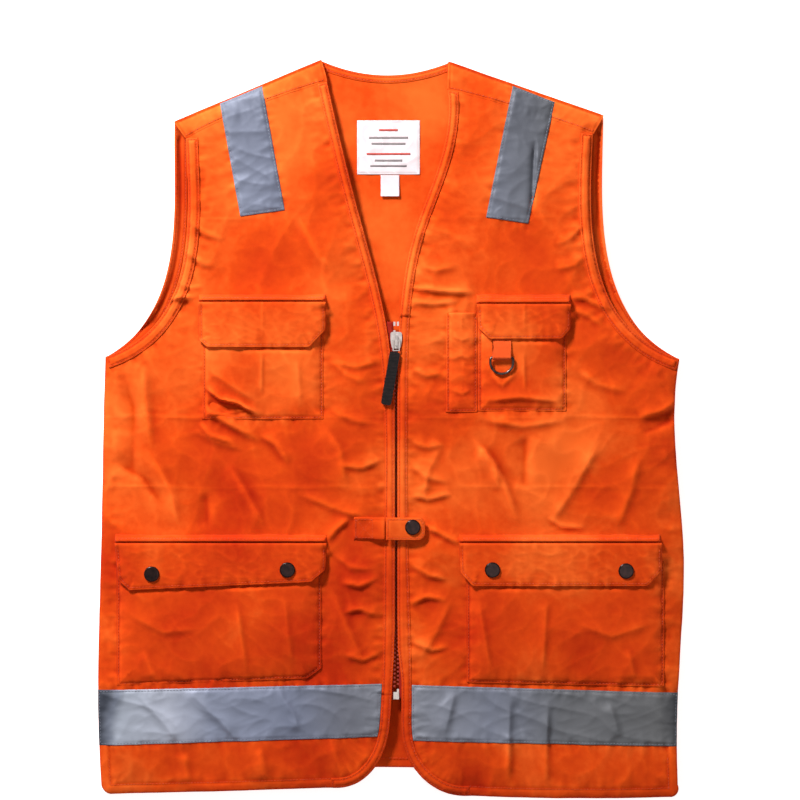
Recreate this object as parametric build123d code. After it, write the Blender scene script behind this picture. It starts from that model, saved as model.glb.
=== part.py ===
from build123d import *
import os
from math import radians, tan

# A sleeveless field vest with a front zip, lying flat on its back.
# Millimetres. +Y runs up to the neck, +X to the wearer's left, +Z out of the front.
# The origin is under the middle of the vest, on the surface that it lies on.
# "right" and "left" are the wearer's, so right is at -X.

# ---- Layers, from the surface up -----------------------------------------------
CLOTH = 1.6  # a sewn, doubled layer of cloth
TAPE = 0.8  # reflective tape, zip tape and webbing
GAP = 0.3  # clearance between pieces that move apart
TORSO_ROOM = 8.0  # inside the vest, between its back and its front
POCKET_ROOM = 4.6  # inside each pocket
POCKET_CLOTH = 1.0
SNAP_ROOM = 2.0  # between a pocket and its flap, where the snap or its strip sits
FLAP_CLOTH = 1.2
CAP_HEIGHT = 2.0

Z_BACK = TAPE
Z_INSIDE = Z_BACK + CLOTH
Z_FRONT = Z_INSIDE + TORSO_ROOM
Z_OUT = Z_FRONT + CLOTH
Z_POCKET = Z_OUT + POCKET_ROOM
Z_POCKET_OUT = Z_POCKET + POCKET_CLOTH
Z_FLAP = Z_POCKET_OUT + SNAP_ROOM
Z_FLAP_OUT = Z_FLAP + FLAP_CLOTH
BAND_PROUD = 0.2  # the front facings and bindings stand this far above the panel

# ---- Trim widths ---------------------------------------------------------------
NECK_BINDING = 8
FACING = 10
ARMHOLE_BINDING = 12
SEAM_WIDTH = 3
HINGE_X = 284.6  # the line at each side that a front turns about
POCKET_WALL = 3
WELT_CLEAR = 0.9  # from a flap's turning edge to its sewn seam

# ---- Zip -----------------------------------------------------------------------
ZIP_X = 5.0
ZIP_TOP = 104.0
ZIP_BOTTOM = -262.0
TOOTH_PITCH = 4.0
TOOTH_LENGTH = 1.7
TOOTH_REACH = 2.0
TEETH_INNER = 0.7  # from the zip's middle line to the tips of the teeth
ZIP_TAPE_WIDTH = 11.3
TEETH_LOW = 9.0
TEETH_HIGH = 10.3
SLIDER_Y = 86.0
SLIDER_LENGTH = 16.0
SLIDER_WIDTH = 11.0
SLIDER_PLATE = 1.0
SLIDER_DROP = 1.1  # room below the teeth, so that the left row can leave sideways
SLIDER_TAIL = 8.0  # width of the slider's lower end
SLIDER_ROUND = 2.0
SLIDER_CLEAR = 0.4  # from the facings to the slider's upper plate
BLADE = 0.8
BRIDGE_WIDTH = 2.5
BRIDGE_LENGTH = 10.0
BRIDGE_ROOF = 0.75
LINK_WIDTH = 6.0  # between the middles of the wires
LINK_LENGTH = 10.0
LINK_ROOM = 0.2  # between the link and its hole in the bridge
PULL_WIRE = 0.45  # radius
PULL_Z = 14.5
PULLER_SIZE = (10.0, 52.0, 1.5)
PULLER_TILT = -10
PULLER_ROUND = 2.5

# ---- Snaps and ring ------------------------------------------------------------
CAP_RADIUS = 7.5
SOCKET_RADIUS = 5.0
SOCKET_HOLE = 2.4
STUD_RADIUS = 1.7
STUD_BASE_RADIUS = 4.0
STUD_BASE = 0.6
RING_WIRE = 1.2  # radius
RING_FIT = 0.2
RING_X, RING_Y = 107.0, 69.2
RING_HALF = 11.0
LOOP_WALL = 0.8

# ---- Outline of each half ------------------------------------------------------
# The two halves are not mirror images: the zip lies just to the left of the middle.
HALVES = {
    "right": {
        "neck": (-68, 358),
        "tip": (-210, 298),
        "seam": [(-62, 337), (-125, 316), (-199, 282)],
        "back_armhole": [(-210, 298), (-210, 222), (-229, 120), (-277, 70)],
        "front_armhole": [(-199, 282), (-197, 226), (-214, 124), (-277, 70)],
        "side": [(-277, 70), (-279, 0), (-281, -110), (-284, -230), (-281, -345)],
        "corner": [(-281, -345), (-278, -351), (-272, -354)],
        "hem": [(-272, -354), (-121, -350), (-59, -348)],
        "opening": [
            (-59, -348), (-25, -338), (-7, -313), (0, -273), (3, -120),
            (3.2, 20), (-3, 92), (-33, 216), (-58, 319), (-62, 337),
        ],
        "shoulder_tape": [(-166, 316), (-125, 333), (-103, 212), (-146, 206)],
        "back_tape": [(-166, 316), (-125, 333), (-108, -250), (-152, -250)],
        "hem_tape": [(-290, -253), (-6, -247), (-6, -298), (-290, -307)],
    },
    "left": {
        "neck": (56, 356),
        "tip": (206, 304),
        "seam": [(55, 329), (128, 309), (196, 286)],
        "back_armhole": [(206, 304), (205, 222), (226, 120), (280, 68)],
        "front_armhole": [(196, 286), (194, 220), (215, 121), (280, 68)],
        "side": [(280, 68), (275, 18), (284, -120), (279, -243), (278, -345)],
        "corner": [(278, -345), (277, -354), (272, -357)],
        "hem": [(272, -357), (160, -358), (77, -356)],
        "opening": [
            (77, -356), (33, -341), (14, -313), (10, -270), (7, -120),
            (6.4, 20), (8, 104), (23, 192), (48, 262), (55, 329),
        ],
        "shoulder_tape": [(118, 333), (159, 317), (133, 199), (92, 205)],
        "back_tape": [(118, 333), (159, 317), (151, -250), (107, -250)],
        "hem_tape": [(19, -248), (290, -256), (290, -308), (19, -302)],
    },
}
NECKLINE_DIP = (-1, 344)
BACK_HEM_RISE = (0, -329)
BACK_TAPE_TOP, BACK_TAPE_BOTTOM = -250, -300

# ---- Pockets: the outline below the mouth, then the flap's outline -------------
# A flap's first two points are its turning edge.
POCKETS = {
    "chest_pocket_right": {
        "mouth": 105,
        "below": [(-183, 9), (-65, 9)],
        "flap": [(-63, 123), (-186, 123), (-186, 86), (-178, 79), (-79, 79), (-63, 96)],
        "ridge": 128.5,
    },
    "chest_pocket_left": {
        "mouth": 105,
        "below": [(84, 17), (170, 17)],
        "flap": [(174, 121), (83, 121), (84, 98), (95, 87), (165, 87), (174, 97)],
        "ridge": 128.5,
    },
    "lower_pocket_right": {
        "mouth": -128,
        "below": [(-266, -249), (-81, -242), (-67, -232)],
        "flap": [(-62, -110), (-267, -110), (-264, -146), (-253, -156), (-77, -148), (-63, -136)],
        "ridge": -104,
    },
    "lower_pocket_left": {
        "mouth": -128,
        "below": [(73, -246), (265, -250)],
        "flap": [(262, -110), (66, -110), (67, -139), (79, -152), (248, -152), (262, -137)],
        "ridge": -104,
    },
}
PEN_POCKET = {"mouth": 113, "below": [(53, 16), (84, 16)]}
POCKET_SNAPS = {
    "right": [(-231, -140), (-100, -136)],
    "left": [(98, -136), (227, -137)],
}
STRIPS = {"right": (-125, 92, 44), "left": (142, 97, 36)}  # middle x, middle y, length
STRIP_WIDTH = 10
STRIP_THICKNESS = 0.8

# ---- Waist tab -----------------------------------------------------------------
TAB_Y = -96.5
TAB_WIDTH = 22
TAB_SEWN_X = -36
TAB_TURN_X = -5
TAB_END_X = 33
TAB_SNAP = (21, -95)
Z_TAB = 16.6

# ---- Labels --------------------------------------------------------------------
LABEL = (-33, 28, 247.3, 300)
SIZE_TAG = (-10, 8, 226, 246.7)
LABEL_CLOTH = 0.5


def plate(face, low, high):
    """A flat outline raised into a solid between two heights."""
    return extrude(Pos(0, 0, low) * face, high - low, dir=(0, 0, 1))


def polygon(points):
    """The face inside straight lines through the points."""
    return make_face(Polyline(*points, close=True))


def block(x0, x1, y0, y1, z0, z1):
    """A box between the given coordinates."""
    middle = Pos((x0 + x1) / 2, (y0 + y1) / 2, (z0 + z1) / 2)
    return middle * Box(x1 - x0, y1 - y0, z1 - z0)


def strip_along(curve, width, face, low, high):
    """The part of a raised outline that lies within a width of one of its edges."""
    return plate(trace(curve, 2 * width), low, high) & plate(face, low, high)


def save(name, *solids):
    """Writes one sub-part. Repeated pieces of one kind share a file."""
    shape = solids[0] if len(solids) == 1 else Compound(children=list(solids))
    export_step(shape, f"parts/{name}.step")


def curves_of(half):
    """The edge curves of one half of the vest, by name."""
    data = HALVES[half]
    names = ["back_armhole", "front_armhole", "side", "hem", "opening"]
    curves = {name: Spline(*data[name]) for name in names}
    curves["seam"] = ThreePointArc(*data["seam"])
    curves["corner"] = ThreePointArc(*data["corner"])
    curves["shoulder"] = Line(data["neck"], data["tip"])
    return curves


CURVES = {half: curves_of(half) for half in HALVES}


# ---- Back ----------------------------------------------------------------------
def back_outline():
    """The whole back, from the neckline down both sides to the hem."""
    right, left = CURVES["right"], CURVES["left"]
    neckline = Spline(HALVES["right"]["neck"], NECKLINE_DIP, HALVES["left"]["neck"])
    hem = Spline(HALVES["right"]["corner"][-1], BACK_HEM_RISE, HALVES["left"]["corner"][-1])
    edges = [neckline, hem]
    for side in (right, left):
        edges += [side["shoulder"], side["back_armhole"], side["side"], side["corner"]]
    return make_face(edges), neckline


def make_back():
    outline, neckline = back_outline()
    panel = plate(outline, Z_BACK, Z_INSIDE)
    binding = strip_along(neckline, NECK_BINDING, outline, Z_BACK, Z_INSIDE)
    save("back_neck_binding", binding)
    panel = panel - binding
    for half, curves in CURVES.items():
        edge = curves["back_armhole"]
        armhole = strip_along(edge, ARMHOLE_BINDING, outline, Z_BACK, Z_INSIDE) - binding
        save(f"back_armhole_binding_{half}", armhole)
        panel = panel - armhole
        seam = strip_along(curves["side"], SEAM_WIDTH, outline, Z_INSIDE, Z_FRONT - GAP)
        save(f"side_seam_{half}", seam)
    save("back_panel", panel)

    middle = (BACK_TAPE_TOP + BACK_TAPE_BOTTOM) / 2
    band = Pos(0, middle) * Rectangle(2 * HINGE_X, BACK_TAPE_TOP - BACK_TAPE_BOTTOM)
    whole = plate(outline, 0, Z_BACK)
    save("back_hem_tape", plate(band, 0, Z_BACK) & whole)
    uprights = [plate(polygon(HALVES[half]["back_tape"]), 0, Z_BACK) & whole for half in HALVES]
    save("back_shoulder_tapes", *uprights)


def make_yoke(half):
    """The yoke wraps over the shoulder from the back and ends at the front seam."""
    data, curves = HALVES[half], CURVES[half]
    outer = Line(data["tip"], data["seam"][-1])
    inner = Line(data["seam"][0], data["neck"])
    face = make_face([curves["shoulder"], outer, curves["seam"], inner])
    gap = plate(trace(curves["seam"], 2 * GAP), Z_FRONT, Z_OUT)
    front = plate(face, Z_FRONT, Z_OUT - GAP) - gap
    fold = strip_along(curves["shoulder"], SEAM_WIDTH, face, Z_INSIDE, Z_FRONT)
    save(f"yoke_{half}", front + fold)


def make_labels():
    x0, x1, y0, y1 = LABEL
    save("main_label", block(x0, x1, y0, y1, Z_INSIDE, Z_INSIDE + LABEL_CLOTH))
    x0, x1, y0, y1 = SIZE_TAG
    low = Z_INSIDE + GAP
    save("size_tag", block(x0, x1, y0, y1, low, low + LABEL_CLOTH))


# ---- Fronts --------------------------------------------------------------------
def make_front(half):
    data, curves = HALVES[half], CURVES[half]
    names = ["seam", "front_armhole", "side", "corner", "hem", "opening"]
    outline = make_face([curves[name] for name in names])
    proud = Z_OUT + BAND_PROUD
    facing = strip_along(curves["opening"], FACING, outline, Z_FRONT, proud)
    armhole = strip_along(curves["front_armhole"], ARMHOLE_BINDING, outline, Z_FRONT, proud) - facing
    panel = plate(outline, Z_FRONT, Z_OUT) - facing - armhole
    save(f"front_panel_{half}", panel)
    save(f"front_facing_{half}", facing)
    save(f"front_armhole_binding_{half}", armhole)

    top = Z_OUT + TAPE
    save(f"shoulder_tape_{half}", plate(polygon(data["shoulder_tape"]), Z_OUT, top))
    band = plate(polygon(data["hem_tape"]), Z_OUT, top) & plate(outline, Z_OUT, top)
    reach = FACING + GAP / 2
    save(f"hem_tape_{half}", band - strip_along(curves["opening"], reach, outline, Z_OUT, top))


# ---- Pockets -------------------------------------------------------------------
def pocket(mouth, below):
    """A patch pocket, open at its mouth, that stands off the panel it is sewn to."""
    first, last = below[0], below[-1]
    outer = polygon([(first[0], mouth), *below, (last[0], mouth)])
    past = mouth + 2 * POCKET_WALL
    inner = offset(polygon([(first[0], past), *below, (last[0], past)]), -POCKET_WALL)
    return plate(outer, Z_OUT, Z_POCKET_OUT) - plate(inner, Z_OUT, Z_POCKET)


def make_flapped_pocket(name, mouth, below, flap, ridge):
    save(name, pocket(mouth, below))
    x0, x1 = sorted([flap[0][0], flap[1][0]])
    turning = flap[0][1]
    seam = block(x0, x1, turning + WELT_CLEAR, ridge, Z_OUT, Z_FLAP)
    save(name.replace("pocket", "flap_seam"), seam)
    save(name.replace("pocket", "flap"), plate(polygon(flap), Z_FLAP, Z_FLAP_OUT))


def make_strips(half):
    """Hook and loop strips that close the chest flaps."""
    x, y, length = STRIPS[half]
    face = Pos(x, y) * Rectangle(length, STRIP_WIDTH)
    save(f"hook_strip_{half}", plate(face, Z_FLAP - STRIP_THICKNESS, Z_FLAP))
    save(f"loop_strip_{half}", plate(face, Z_POCKET_OUT, Z_POCKET_OUT + STRIP_THICKNESS))


# ---- Snaps ---------------------------------------------------------------------
def snap_cap(x, y, cloth_low, cloth_high):
    """The domed cap over the cloth and the socket ring under it."""
    cap = Pos(x, y, cloth_high) * Cylinder(
        CAP_RADIUS, CAP_HEIGHT, align=(Align.CENTER, Align.CENTER, Align.MIN)
    )
    cap = fillet(cap.edges().group_by(Axis.Z)[-1], 0.7 * CAP_HEIGHT)
    depth = SNAP_ROOM - STUD_BASE - GAP
    ring = Pos(x, y) * (Circle(SOCKET_RADIUS) - Circle(SOCKET_HOLE))
    return cap, plate(ring, cloth_low - depth, cloth_low)


def snap_stud(x, y, low, cloth_low):
    """The stud under a socket: a base plate and a post that ends below the cloth."""
    base = plate(Pos(x, y) * Circle(STUD_BASE_RADIUS), low, low + STUD_BASE)
    return base + plate(Pos(x, y) * Circle(STUD_RADIUS), low, cloth_low - GAP)


def make_pocket_snaps(half):
    caps, studs = [], []
    for x, y in POCKET_SNAPS[half]:
        caps += snap_cap(x, y, Z_FLAP, Z_FLAP_OUT)
        studs.append(snap_stud(x, y, Z_POCKET_OUT, Z_FLAP))
    save(f"pocket_snap_caps_{half}", *caps)
    save(f"pocket_snap_studs_{half}", *studs)


# ---- Waist tab -----------------------------------------------------------------
def make_waist_tab():
    """The sewn end rises so that the free end clears the zip's slider."""
    y0, y1 = TAB_Y - TAB_WIDTH / 2, TAB_Y + TAB_WIDTH / 2
    rise = TAB_TURN_X - WELT_CLEAR
    side = Polyline(
        (TAB_SEWN_X, Z_OUT), (TAB_SEWN_X, Z_OUT + FLAP_CLOTH), (rise, Z_TAB), (rise, Z_OUT), close=True
    )
    wedge = extrude(Plane.XZ * make_face(side), TAB_WIDTH, dir=(0, 1, 0))
    wedge = Pos(0, y0) * wedge
    facing = block(TAB_TURN_X - 2, 0, y0 - 1, y1 + 1, Z_FRONT, Z_OUT + BAND_PROUD)
    save("waist_tab_base", wedge - facing)
    tab = Pos((TAB_TURN_X + TAB_END_X) / 2, TAB_Y) * Rectangle(TAB_END_X - TAB_TURN_X, TAB_WIDTH)
    tab = chamfer(tab.vertices().group_by(Axis.X)[-1], 4)
    save("waist_tab", plate(tab, Z_TAB, Z_TAB + FLAP_CLOTH))
    save("waist_snap_cap", *snap_cap(*TAB_SNAP, Z_TAB, Z_TAB + FLAP_CLOTH))
    save("waist_snap_stud", snap_stud(*TAB_SNAP, Z_OUT, Z_TAB))


# ---- D-ring --------------------------------------------------------------------
def make_ring():
    """A wire D-ring and the webbing loop that holds its straight bar."""
    half, corner = RING_HALF, 2.5
    z = Z_POCKET_OUT + LOOP_WALL + RING_FIT + RING_WIRE
    bow_y = RING_Y - 4.8
    bar = Line((-half + corner, RING_Y), (half - corner, RING_Y))
    right_bend = RadiusArc((half - corner, RING_Y), (half, RING_Y - corner), corner)
    left_bend = RadiusArc((-half, RING_Y - corner), (-half + corner, RING_Y), corner)
    legs = [
        Line((half, RING_Y - corner), (half, bow_y)),
        Line((-half, bow_y), (-half, RING_Y - corner)),
    ]
    bow = ThreePointArc((half, bow_y), (0, bow_y - half), (-half, bow_y))
    path = Wire([bar, right_bend, legs[0], bow, legs[1], left_bend])
    section = Plane(origin=bar @ 0, z_dir=bar % 0) * Circle(RING_WIRE)
    save("d_ring", Pos(RING_X, 0, z) * sweep(section, path))

    inner = RING_WIRE + RING_FIT
    reach = half - corner + 0.5
    turn = Plane.YZ.offset(RING_X - reach) * Pos(RING_Y, z) * (
        Circle(inner + LOOP_WALL) - Circle(inner)
    )
    loop = extrude(turn, 2 * reach, dir=(1, 0, 0))
    tail = block(
        RING_X - reach, RING_X + reach, RING_Y, RING_Y + 24, Z_POCKET_OUT, Z_POCKET_OUT + LOOP_WALL
    )
    tunnel = Pos(RING_X, RING_Y, z) * Rot(0, 90, 0) * Cylinder(inner, 3 * reach)
    save("d_ring_loop", loop + (tail - tunnel))


# ---- Zip -----------------------------------------------------------------------
def make_zip_row(half):
    """A zip tape with its row of teeth and its top stop."""
    side = -1 if half == "right" else 1
    tip = ZIP_X + side * TEETH_INNER
    root = tip + side * TOOTH_REACH
    tape_edge = root + side * ZIP_TAPE_WIDTH
    tape = block(*sorted([root, tape_edge]), ZIP_BOTTOM, ZIP_TOP, Z_FRONT - TAPE, Z_FRONT)
    save(f"zip_tape_{half}", tape)
    first = ZIP_BOTTOM + 12 + (0 if side < 0 else TOOTH_PITCH / 2)
    count = int((ZIP_TOP - 6 - first) / TOOTH_PITCH)
    x0, x1 = sorted([tip, root])
    teeth = []
    for i in range(count):
        y = first + i * TOOTH_PITCH
        teeth.append(block(x0, x1, y, y + TOOTH_LENGTH, TEETH_LOW, TEETH_HIGH))
    teeth.append(block(x0, x1, ZIP_TOP - 4, ZIP_TOP, TEETH_LOW - 0.3, TEETH_HIGH))
    save(f"zip_teeth_{half}", *teeth)


def make_zip_end():
    """The box at the bottom is open to the left, where the pin comes out."""
    x0 = ZIP_X - TEETH_INNER - TOOTH_REACH
    x1 = ZIP_X + TEETH_INNER + TOOTH_REACH
    top = ZIP_BOTTOM + 7
    low = TEETH_LOW - SLIDER_DROP
    spine = block(x0, ZIP_X - GAP, ZIP_BOTTOM, top, low, TEETH_HIGH + GAP)
    roof = block(x0, x1, ZIP_BOTTOM, top, TEETH_HIGH + GAP, TEETH_HIGH + 3 * GAP)
    floor = block(x0, x1, ZIP_BOTTOM, top, low - SLIDER_PLATE, low)
    save("zip_retainer_box", spine + roof + floor)
    pin = block(ZIP_X + TEETH_INNER, x1, ZIP_BOTTOM, top + 3, TEETH_LOW, TEETH_HIGH)
    save("zip_insertion_pin", pin)


def make_slider():
    """Two plates joined by a blade that runs between the rows of teeth."""
    half_length = SLIDER_LENGTH / 2
    outline = polygon(
        [
            (-SLIDER_WIDTH / 2, half_length),
            (SLIDER_WIDTH / 2, half_length),
            (SLIDER_WIDTH / 2, 0),
            (SLIDER_TAIL / 2, -half_length),
            (-SLIDER_TAIL / 2, -half_length),
            (-SLIDER_WIDTH / 2, 0),
        ]
    )
    outline = Pos(ZIP_X, SLIDER_Y) * fillet(outline.vertices(), SLIDER_ROUND)
    under = TEETH_LOW - SLIDER_DROP
    over = Z_OUT + BAND_PROUD + SLIDER_CLEAR
    top = over + SLIDER_PLATE
    body = plate(outline, over, top) + plate(outline, under - SLIDER_PLATE, under)
    y0, y1 = SLIDER_Y - half_length + 2, SLIDER_Y + half_length - 2
    body += block(ZIP_X - BLADE / 2, ZIP_X + BLADE / 2, y0, y1, under, over)
    room = PULL_WIRE + LINK_ROOM
    height = PULL_Z + room + BRIDGE_ROOF - top
    middle = (PULL_Z + room + BRIDGE_ROOF + top) / 2
    bridge = Pos(ZIP_X, SLIDER_Y, middle) * Box(BRIDGE_WIDTH, BRIDGE_LENGTH, height)
    hole = Pos(ZIP_X, SLIDER_Y, PULL_Z) * Box(2 * BRIDGE_WIDTH, 4.0, 2 * room)
    save("zip_slider", body + (bridge - hole))


def make_pull():
    """A wire link through the slider's bridge, and the soft puller below it."""
    wire = 2 * PULL_WIRE
    frame = Rectangle(LINK_WIDTH + wire, LINK_LENGTH + wire)
    frame -= Rectangle(LINK_WIDTH - wire, LINK_LENGTH - wire)
    frame = Pos(ZIP_X, SLIDER_Y - LINK_LENGTH / 2) * frame
    save("zip_pull_link", plate(frame, PULL_Z - PULL_WIRE, PULL_Z + PULL_WIRE))
    width, run, thick = PULLER_SIZE
    shape = Pos(0, -run / 2) * RectangleRounded(width, run, PULLER_ROUND)
    drop = LINK_LENGTH + PULL_WIRE + width / 2 * tan(radians(abs(PULLER_TILT)))
    shape = Pos(ZIP_X - 1, SLIDER_Y - drop) * Rot(0, 0, PULLER_TILT) * shape
    save("zip_puller", plate(shape, PULL_Z - thick / 2, PULL_Z + thick / 2))


os.makedirs("parts", exist_ok=True)
make_back()
make_labels()
for side_name in HALVES:
    make_yoke(side_name)
    make_front(side_name)
    make_strips(side_name)
    make_pocket_snaps(side_name)
    make_zip_row(side_name)
for pocket_name, sizes in POCKETS.items():
    make_flapped_pocket(pocket_name, **sizes)
save("pen_pocket", pocket(**PEN_POCKET))
make_waist_tab()
make_ring()
make_zip_end()
make_slider()
make_pull()
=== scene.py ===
import math

import bmesh
import bpy
import numpy as np
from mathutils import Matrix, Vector
from mathutils.geometry import delaunay_2d_cdt


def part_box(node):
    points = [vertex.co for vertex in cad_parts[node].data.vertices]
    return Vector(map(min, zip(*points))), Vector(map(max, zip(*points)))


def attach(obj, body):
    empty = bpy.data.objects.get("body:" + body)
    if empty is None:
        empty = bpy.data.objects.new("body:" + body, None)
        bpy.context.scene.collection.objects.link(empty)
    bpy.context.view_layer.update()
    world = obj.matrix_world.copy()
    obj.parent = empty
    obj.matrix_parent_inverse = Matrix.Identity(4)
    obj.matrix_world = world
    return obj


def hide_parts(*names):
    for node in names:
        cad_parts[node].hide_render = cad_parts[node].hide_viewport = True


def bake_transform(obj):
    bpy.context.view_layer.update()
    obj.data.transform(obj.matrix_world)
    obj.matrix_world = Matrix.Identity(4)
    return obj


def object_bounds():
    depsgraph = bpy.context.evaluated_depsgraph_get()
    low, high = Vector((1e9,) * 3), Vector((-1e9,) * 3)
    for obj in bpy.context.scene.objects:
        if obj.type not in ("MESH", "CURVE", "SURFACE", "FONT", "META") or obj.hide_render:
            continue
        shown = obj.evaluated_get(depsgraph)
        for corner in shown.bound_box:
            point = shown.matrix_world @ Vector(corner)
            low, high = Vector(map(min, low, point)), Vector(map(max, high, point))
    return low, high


# A blaze orange field vest lying flat on its back. Lengths are in millimetres here, and a
# mesh is scaled to metres as it is made. Every outline is read from the CAD frame. The folds
# are moved points, not a simulation.
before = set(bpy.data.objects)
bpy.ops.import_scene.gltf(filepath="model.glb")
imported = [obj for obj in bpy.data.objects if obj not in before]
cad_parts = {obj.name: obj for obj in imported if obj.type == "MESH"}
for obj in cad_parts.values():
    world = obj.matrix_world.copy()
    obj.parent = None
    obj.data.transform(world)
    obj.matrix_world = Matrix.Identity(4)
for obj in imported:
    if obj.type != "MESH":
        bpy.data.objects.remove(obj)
cad_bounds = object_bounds()

MM = 0.001
SIDES = {"right": -1, "left": 1}
COARSE = 1.0

# ---- Cloth and layers ----------------------------------------------------------------
PANEL_GRID = 2.2 * COARSE
BACK_GRID = 3.2 * COARSE
POCKET_GRID = 1.7 * COARSE
STRIP_GRID = 1.4 * COARSE
PANEL_CLOTH = 0.8
STRIP_CLOTH = 0.9
POCKET_CLOTH = 0.9
FLAP_CLOTH = 1.1
TAPE_CLOTH = 0.6
TAPE_LIFT = 0.45
TAPE_SEAM = 1.6  # stitches in from the edge of the tape
STRIP_SEAM = 1.8  # the same for bindings and facings
POCKET_SEAM = 2.2
FLAP_SEAM = 2.6
ZIP_LEVEL = 11.2  # top of the front cloth beside the zip
SWELL = 0.9  # how much higher the cloth lies away from the zip
ZIP_GAP = 2.3  # between the two folded edges over the teeth
STRIP_WIDTH = 10.0
BINDING_WIDTH = 12.0
HEM_WIDTH = 9.0
HEM_LINES_BELOW = -318.0  # the hem's stitches stop where the edge turns up the side
BACK_TOP = 2.2
THINNEST = 0.12  # the least that a strip stands above the cloth

# ---- Stitches ------------------------------------------------------------------------
STITCH_PITCH = 3.1
STITCH_LENGTH = 2.2
STITCH_RADIUS = 0.26

# ---- Painted shade and painted highlight on the cloth ----------------------------------
WIDE_ROUNDS = 36  # how far round a point the wide hollows are looked for
WIDE_HEIGHT = 1.3  # height above its surroundings at which the painted highlight is full


# ======================================================================================
# Plane geometry
# ======================================================================================
def noise(x, y, size, seed):
    """Smooth gradient noise from about -1 to 1, with features of that size."""
    table = np.random.RandomState(seed).uniform(0, 2 * np.pi, (64, 64))
    u, v = x / size, y / size
    i, j = np.floor(u).astype(int), np.floor(v).astype(int)
    fu, fv = u - i, v - j
    total = 0
    su = fu**3 * (fu * (fu * 6 - 15) + 10)
    sv = fv**3 * (fv * (fv * 6 - 15) + 10)
    for a in (0, 1):
        for b in (0, 1):
            angle = table[(i + a) % 64, (j + b) % 64]
            dot = np.cos(angle) * (fu - a) + np.sin(angle) * (fv - b)
            total = total + dot * (su if a else 1 - su) * (sv if b else 1 - sv)
    return 1.6 * total


def ridged(x, y, size, seed):
    """Noise with sharp crests, as in crumpled cloth, from about 0 to 1."""
    return (1 - np.minimum(np.abs(noise(x, y, size, seed)) * 1.7, 1)) ** 2


def smooth(value, low, high):
    """0 below low, 1 above high, and an easy curve between."""
    t = np.clip((value - low) / (high - low), 0, 1)
    return t * t * (3 - 2 * t)


def nearest(points, line, closed=False, reach=None):
    """Distance to a polyline, the length along it of the nearest point, and which side.
    With a reach, points that are plainly beyond it are given a great distance instead."""
    if reach is not None:
        low, high = line.min(0) - reach, line.max(0) + reach
        close = ((points > low) & (points < high)).all(1)
        result = [np.full(len(points), 1e3), np.zeros(len(points)), np.ones(len(points))]
        if close.any():
            for whole, part in zip(result, nearest(points[close], line, closed)):
                whole[close] = part
        return result
    start = line if closed else line[:-1]
    run = (np.roll(line, -1, 0) if closed else line[1:]) - start
    length = np.maximum(np.hypot(run[:, 0], run[:, 1]), 1e-6)
    before = np.concatenate([[0], np.cumsum(length)[:-1]])
    away = np.empty(len(points))
    along = np.empty(len(points))
    side = np.empty(len(points))
    for first in range(0, len(points), 4000):
        chunk = points[first : first + 4000]
        rel_x = chunk[:, None, 0] - start[None, :, 0]
        rel_y = chunk[:, None, 1] - start[None, :, 1]
        t = np.clip((rel_x * run[:, 0] + rel_y * run[:, 1]) / length**2, 0, 1)
        off_x = rel_x - t * run[:, 0]
        off_y = rel_y - t * run[:, 1]
        square = off_x**2 + off_y**2
        best = square.argmin(1)
        rows = np.arange(len(chunk))
        away[first : first + 4000] = np.sqrt(square[rows, best])
        along[first : first + 4000] = before[best] + t[rows, best] * length[best]
        cross = run[best, 0] * rel_y[rows, best] - run[best, 1] * rel_x[rows, best]
        side[first : first + 4000] = np.sign(cross)
    return away, along, side


def inside(points, loop):
    """Which points lie inside a closed outline."""
    result = np.zeros(len(points), bool)
    a, b = loop, np.roll(loop, -1, 0)
    rise = np.where(np.abs(b[:, 1] - a[:, 1]) < 1e-9, 1e-9, b[:, 1] - a[:, 1])
    for first in range(0, len(points), 4000):
        chunk = points[first : first + 4000]
        y = chunk[:, None, 1]
        between = (a[:, 1] > y) != (b[:, 1] > y)
        reach = (b[:, 0] - a[:, 0]) * (y - a[:, 1]) / rise + a[:, 0]
        result[first : first + 4000] = (between & (chunk[:, None, 0] < reach)).sum(1) % 2 == 1
    return result


def depth(points, loop):
    """Distance inside a closed outline; negative outside."""
    away = nearest(points, loop, closed=True)[0]
    return np.where(inside(points, loop), away, -away)


def rim_edges(triangles):
    """The directed edges that only one triangle uses."""
    edges = np.concatenate([triangles[:, [0, 1]], triangles[:, [1, 2]], triangles[:, [2, 0]]])
    known = {(a, b) for a, b in edges.tolist()}
    return [(a, b) for a, b in known if (b, a) not in known]


def outline_of(*names):
    """The outer outline of the upper faces of some CAD nodes, anticlockwise."""
    points, faces = [], []
    for name in names:
        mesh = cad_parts[name].data
        heights = np.array([v.co.z for v in mesh.vertices])
        top = heights.max() - 0.05 * MM
        for face in mesh.polygons:
            corners = [mesh.vertices[i].co for i in face.vertices]
            if face.normal.z < 0.9 or min(c.z for c in corners) < top:
                continue
            faces.append(list(range(len(points), len(points) + len(corners))))
            points += [Vector((c.x / MM, c.y / MM)) for c in corners]
    found = delaunay_2d_cdt(points, [], faces, 1, 0.02)
    flat = np.array([tuple(p) for p in found[0]])
    follow = dict(rim_edges(np.array(found[2])))
    loops = []
    while follow:
        first, step = follow.popitem()
        loop = [first]
        while step != first and step in follow:
            loop.append(step)
            step = follow.pop(step)
        loops.append(flat[loop])
    spans = [np.ptp(loop[:, 0]) * np.ptp(loop[:, 1]) for loop in loops]
    return loops[int(np.argmax(spans))]


def flat_points(name):
    """The corners of a CAD node seen from above, in mm."""
    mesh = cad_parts[name].data
    return np.array([(v.co.x / MM, v.co.y / MM) for v in mesh.vertices])


def box_mm(name):
    """The lowest and highest corners of a CAD node, in mm."""
    return [np.array(corner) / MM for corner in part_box(name)]


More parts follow.
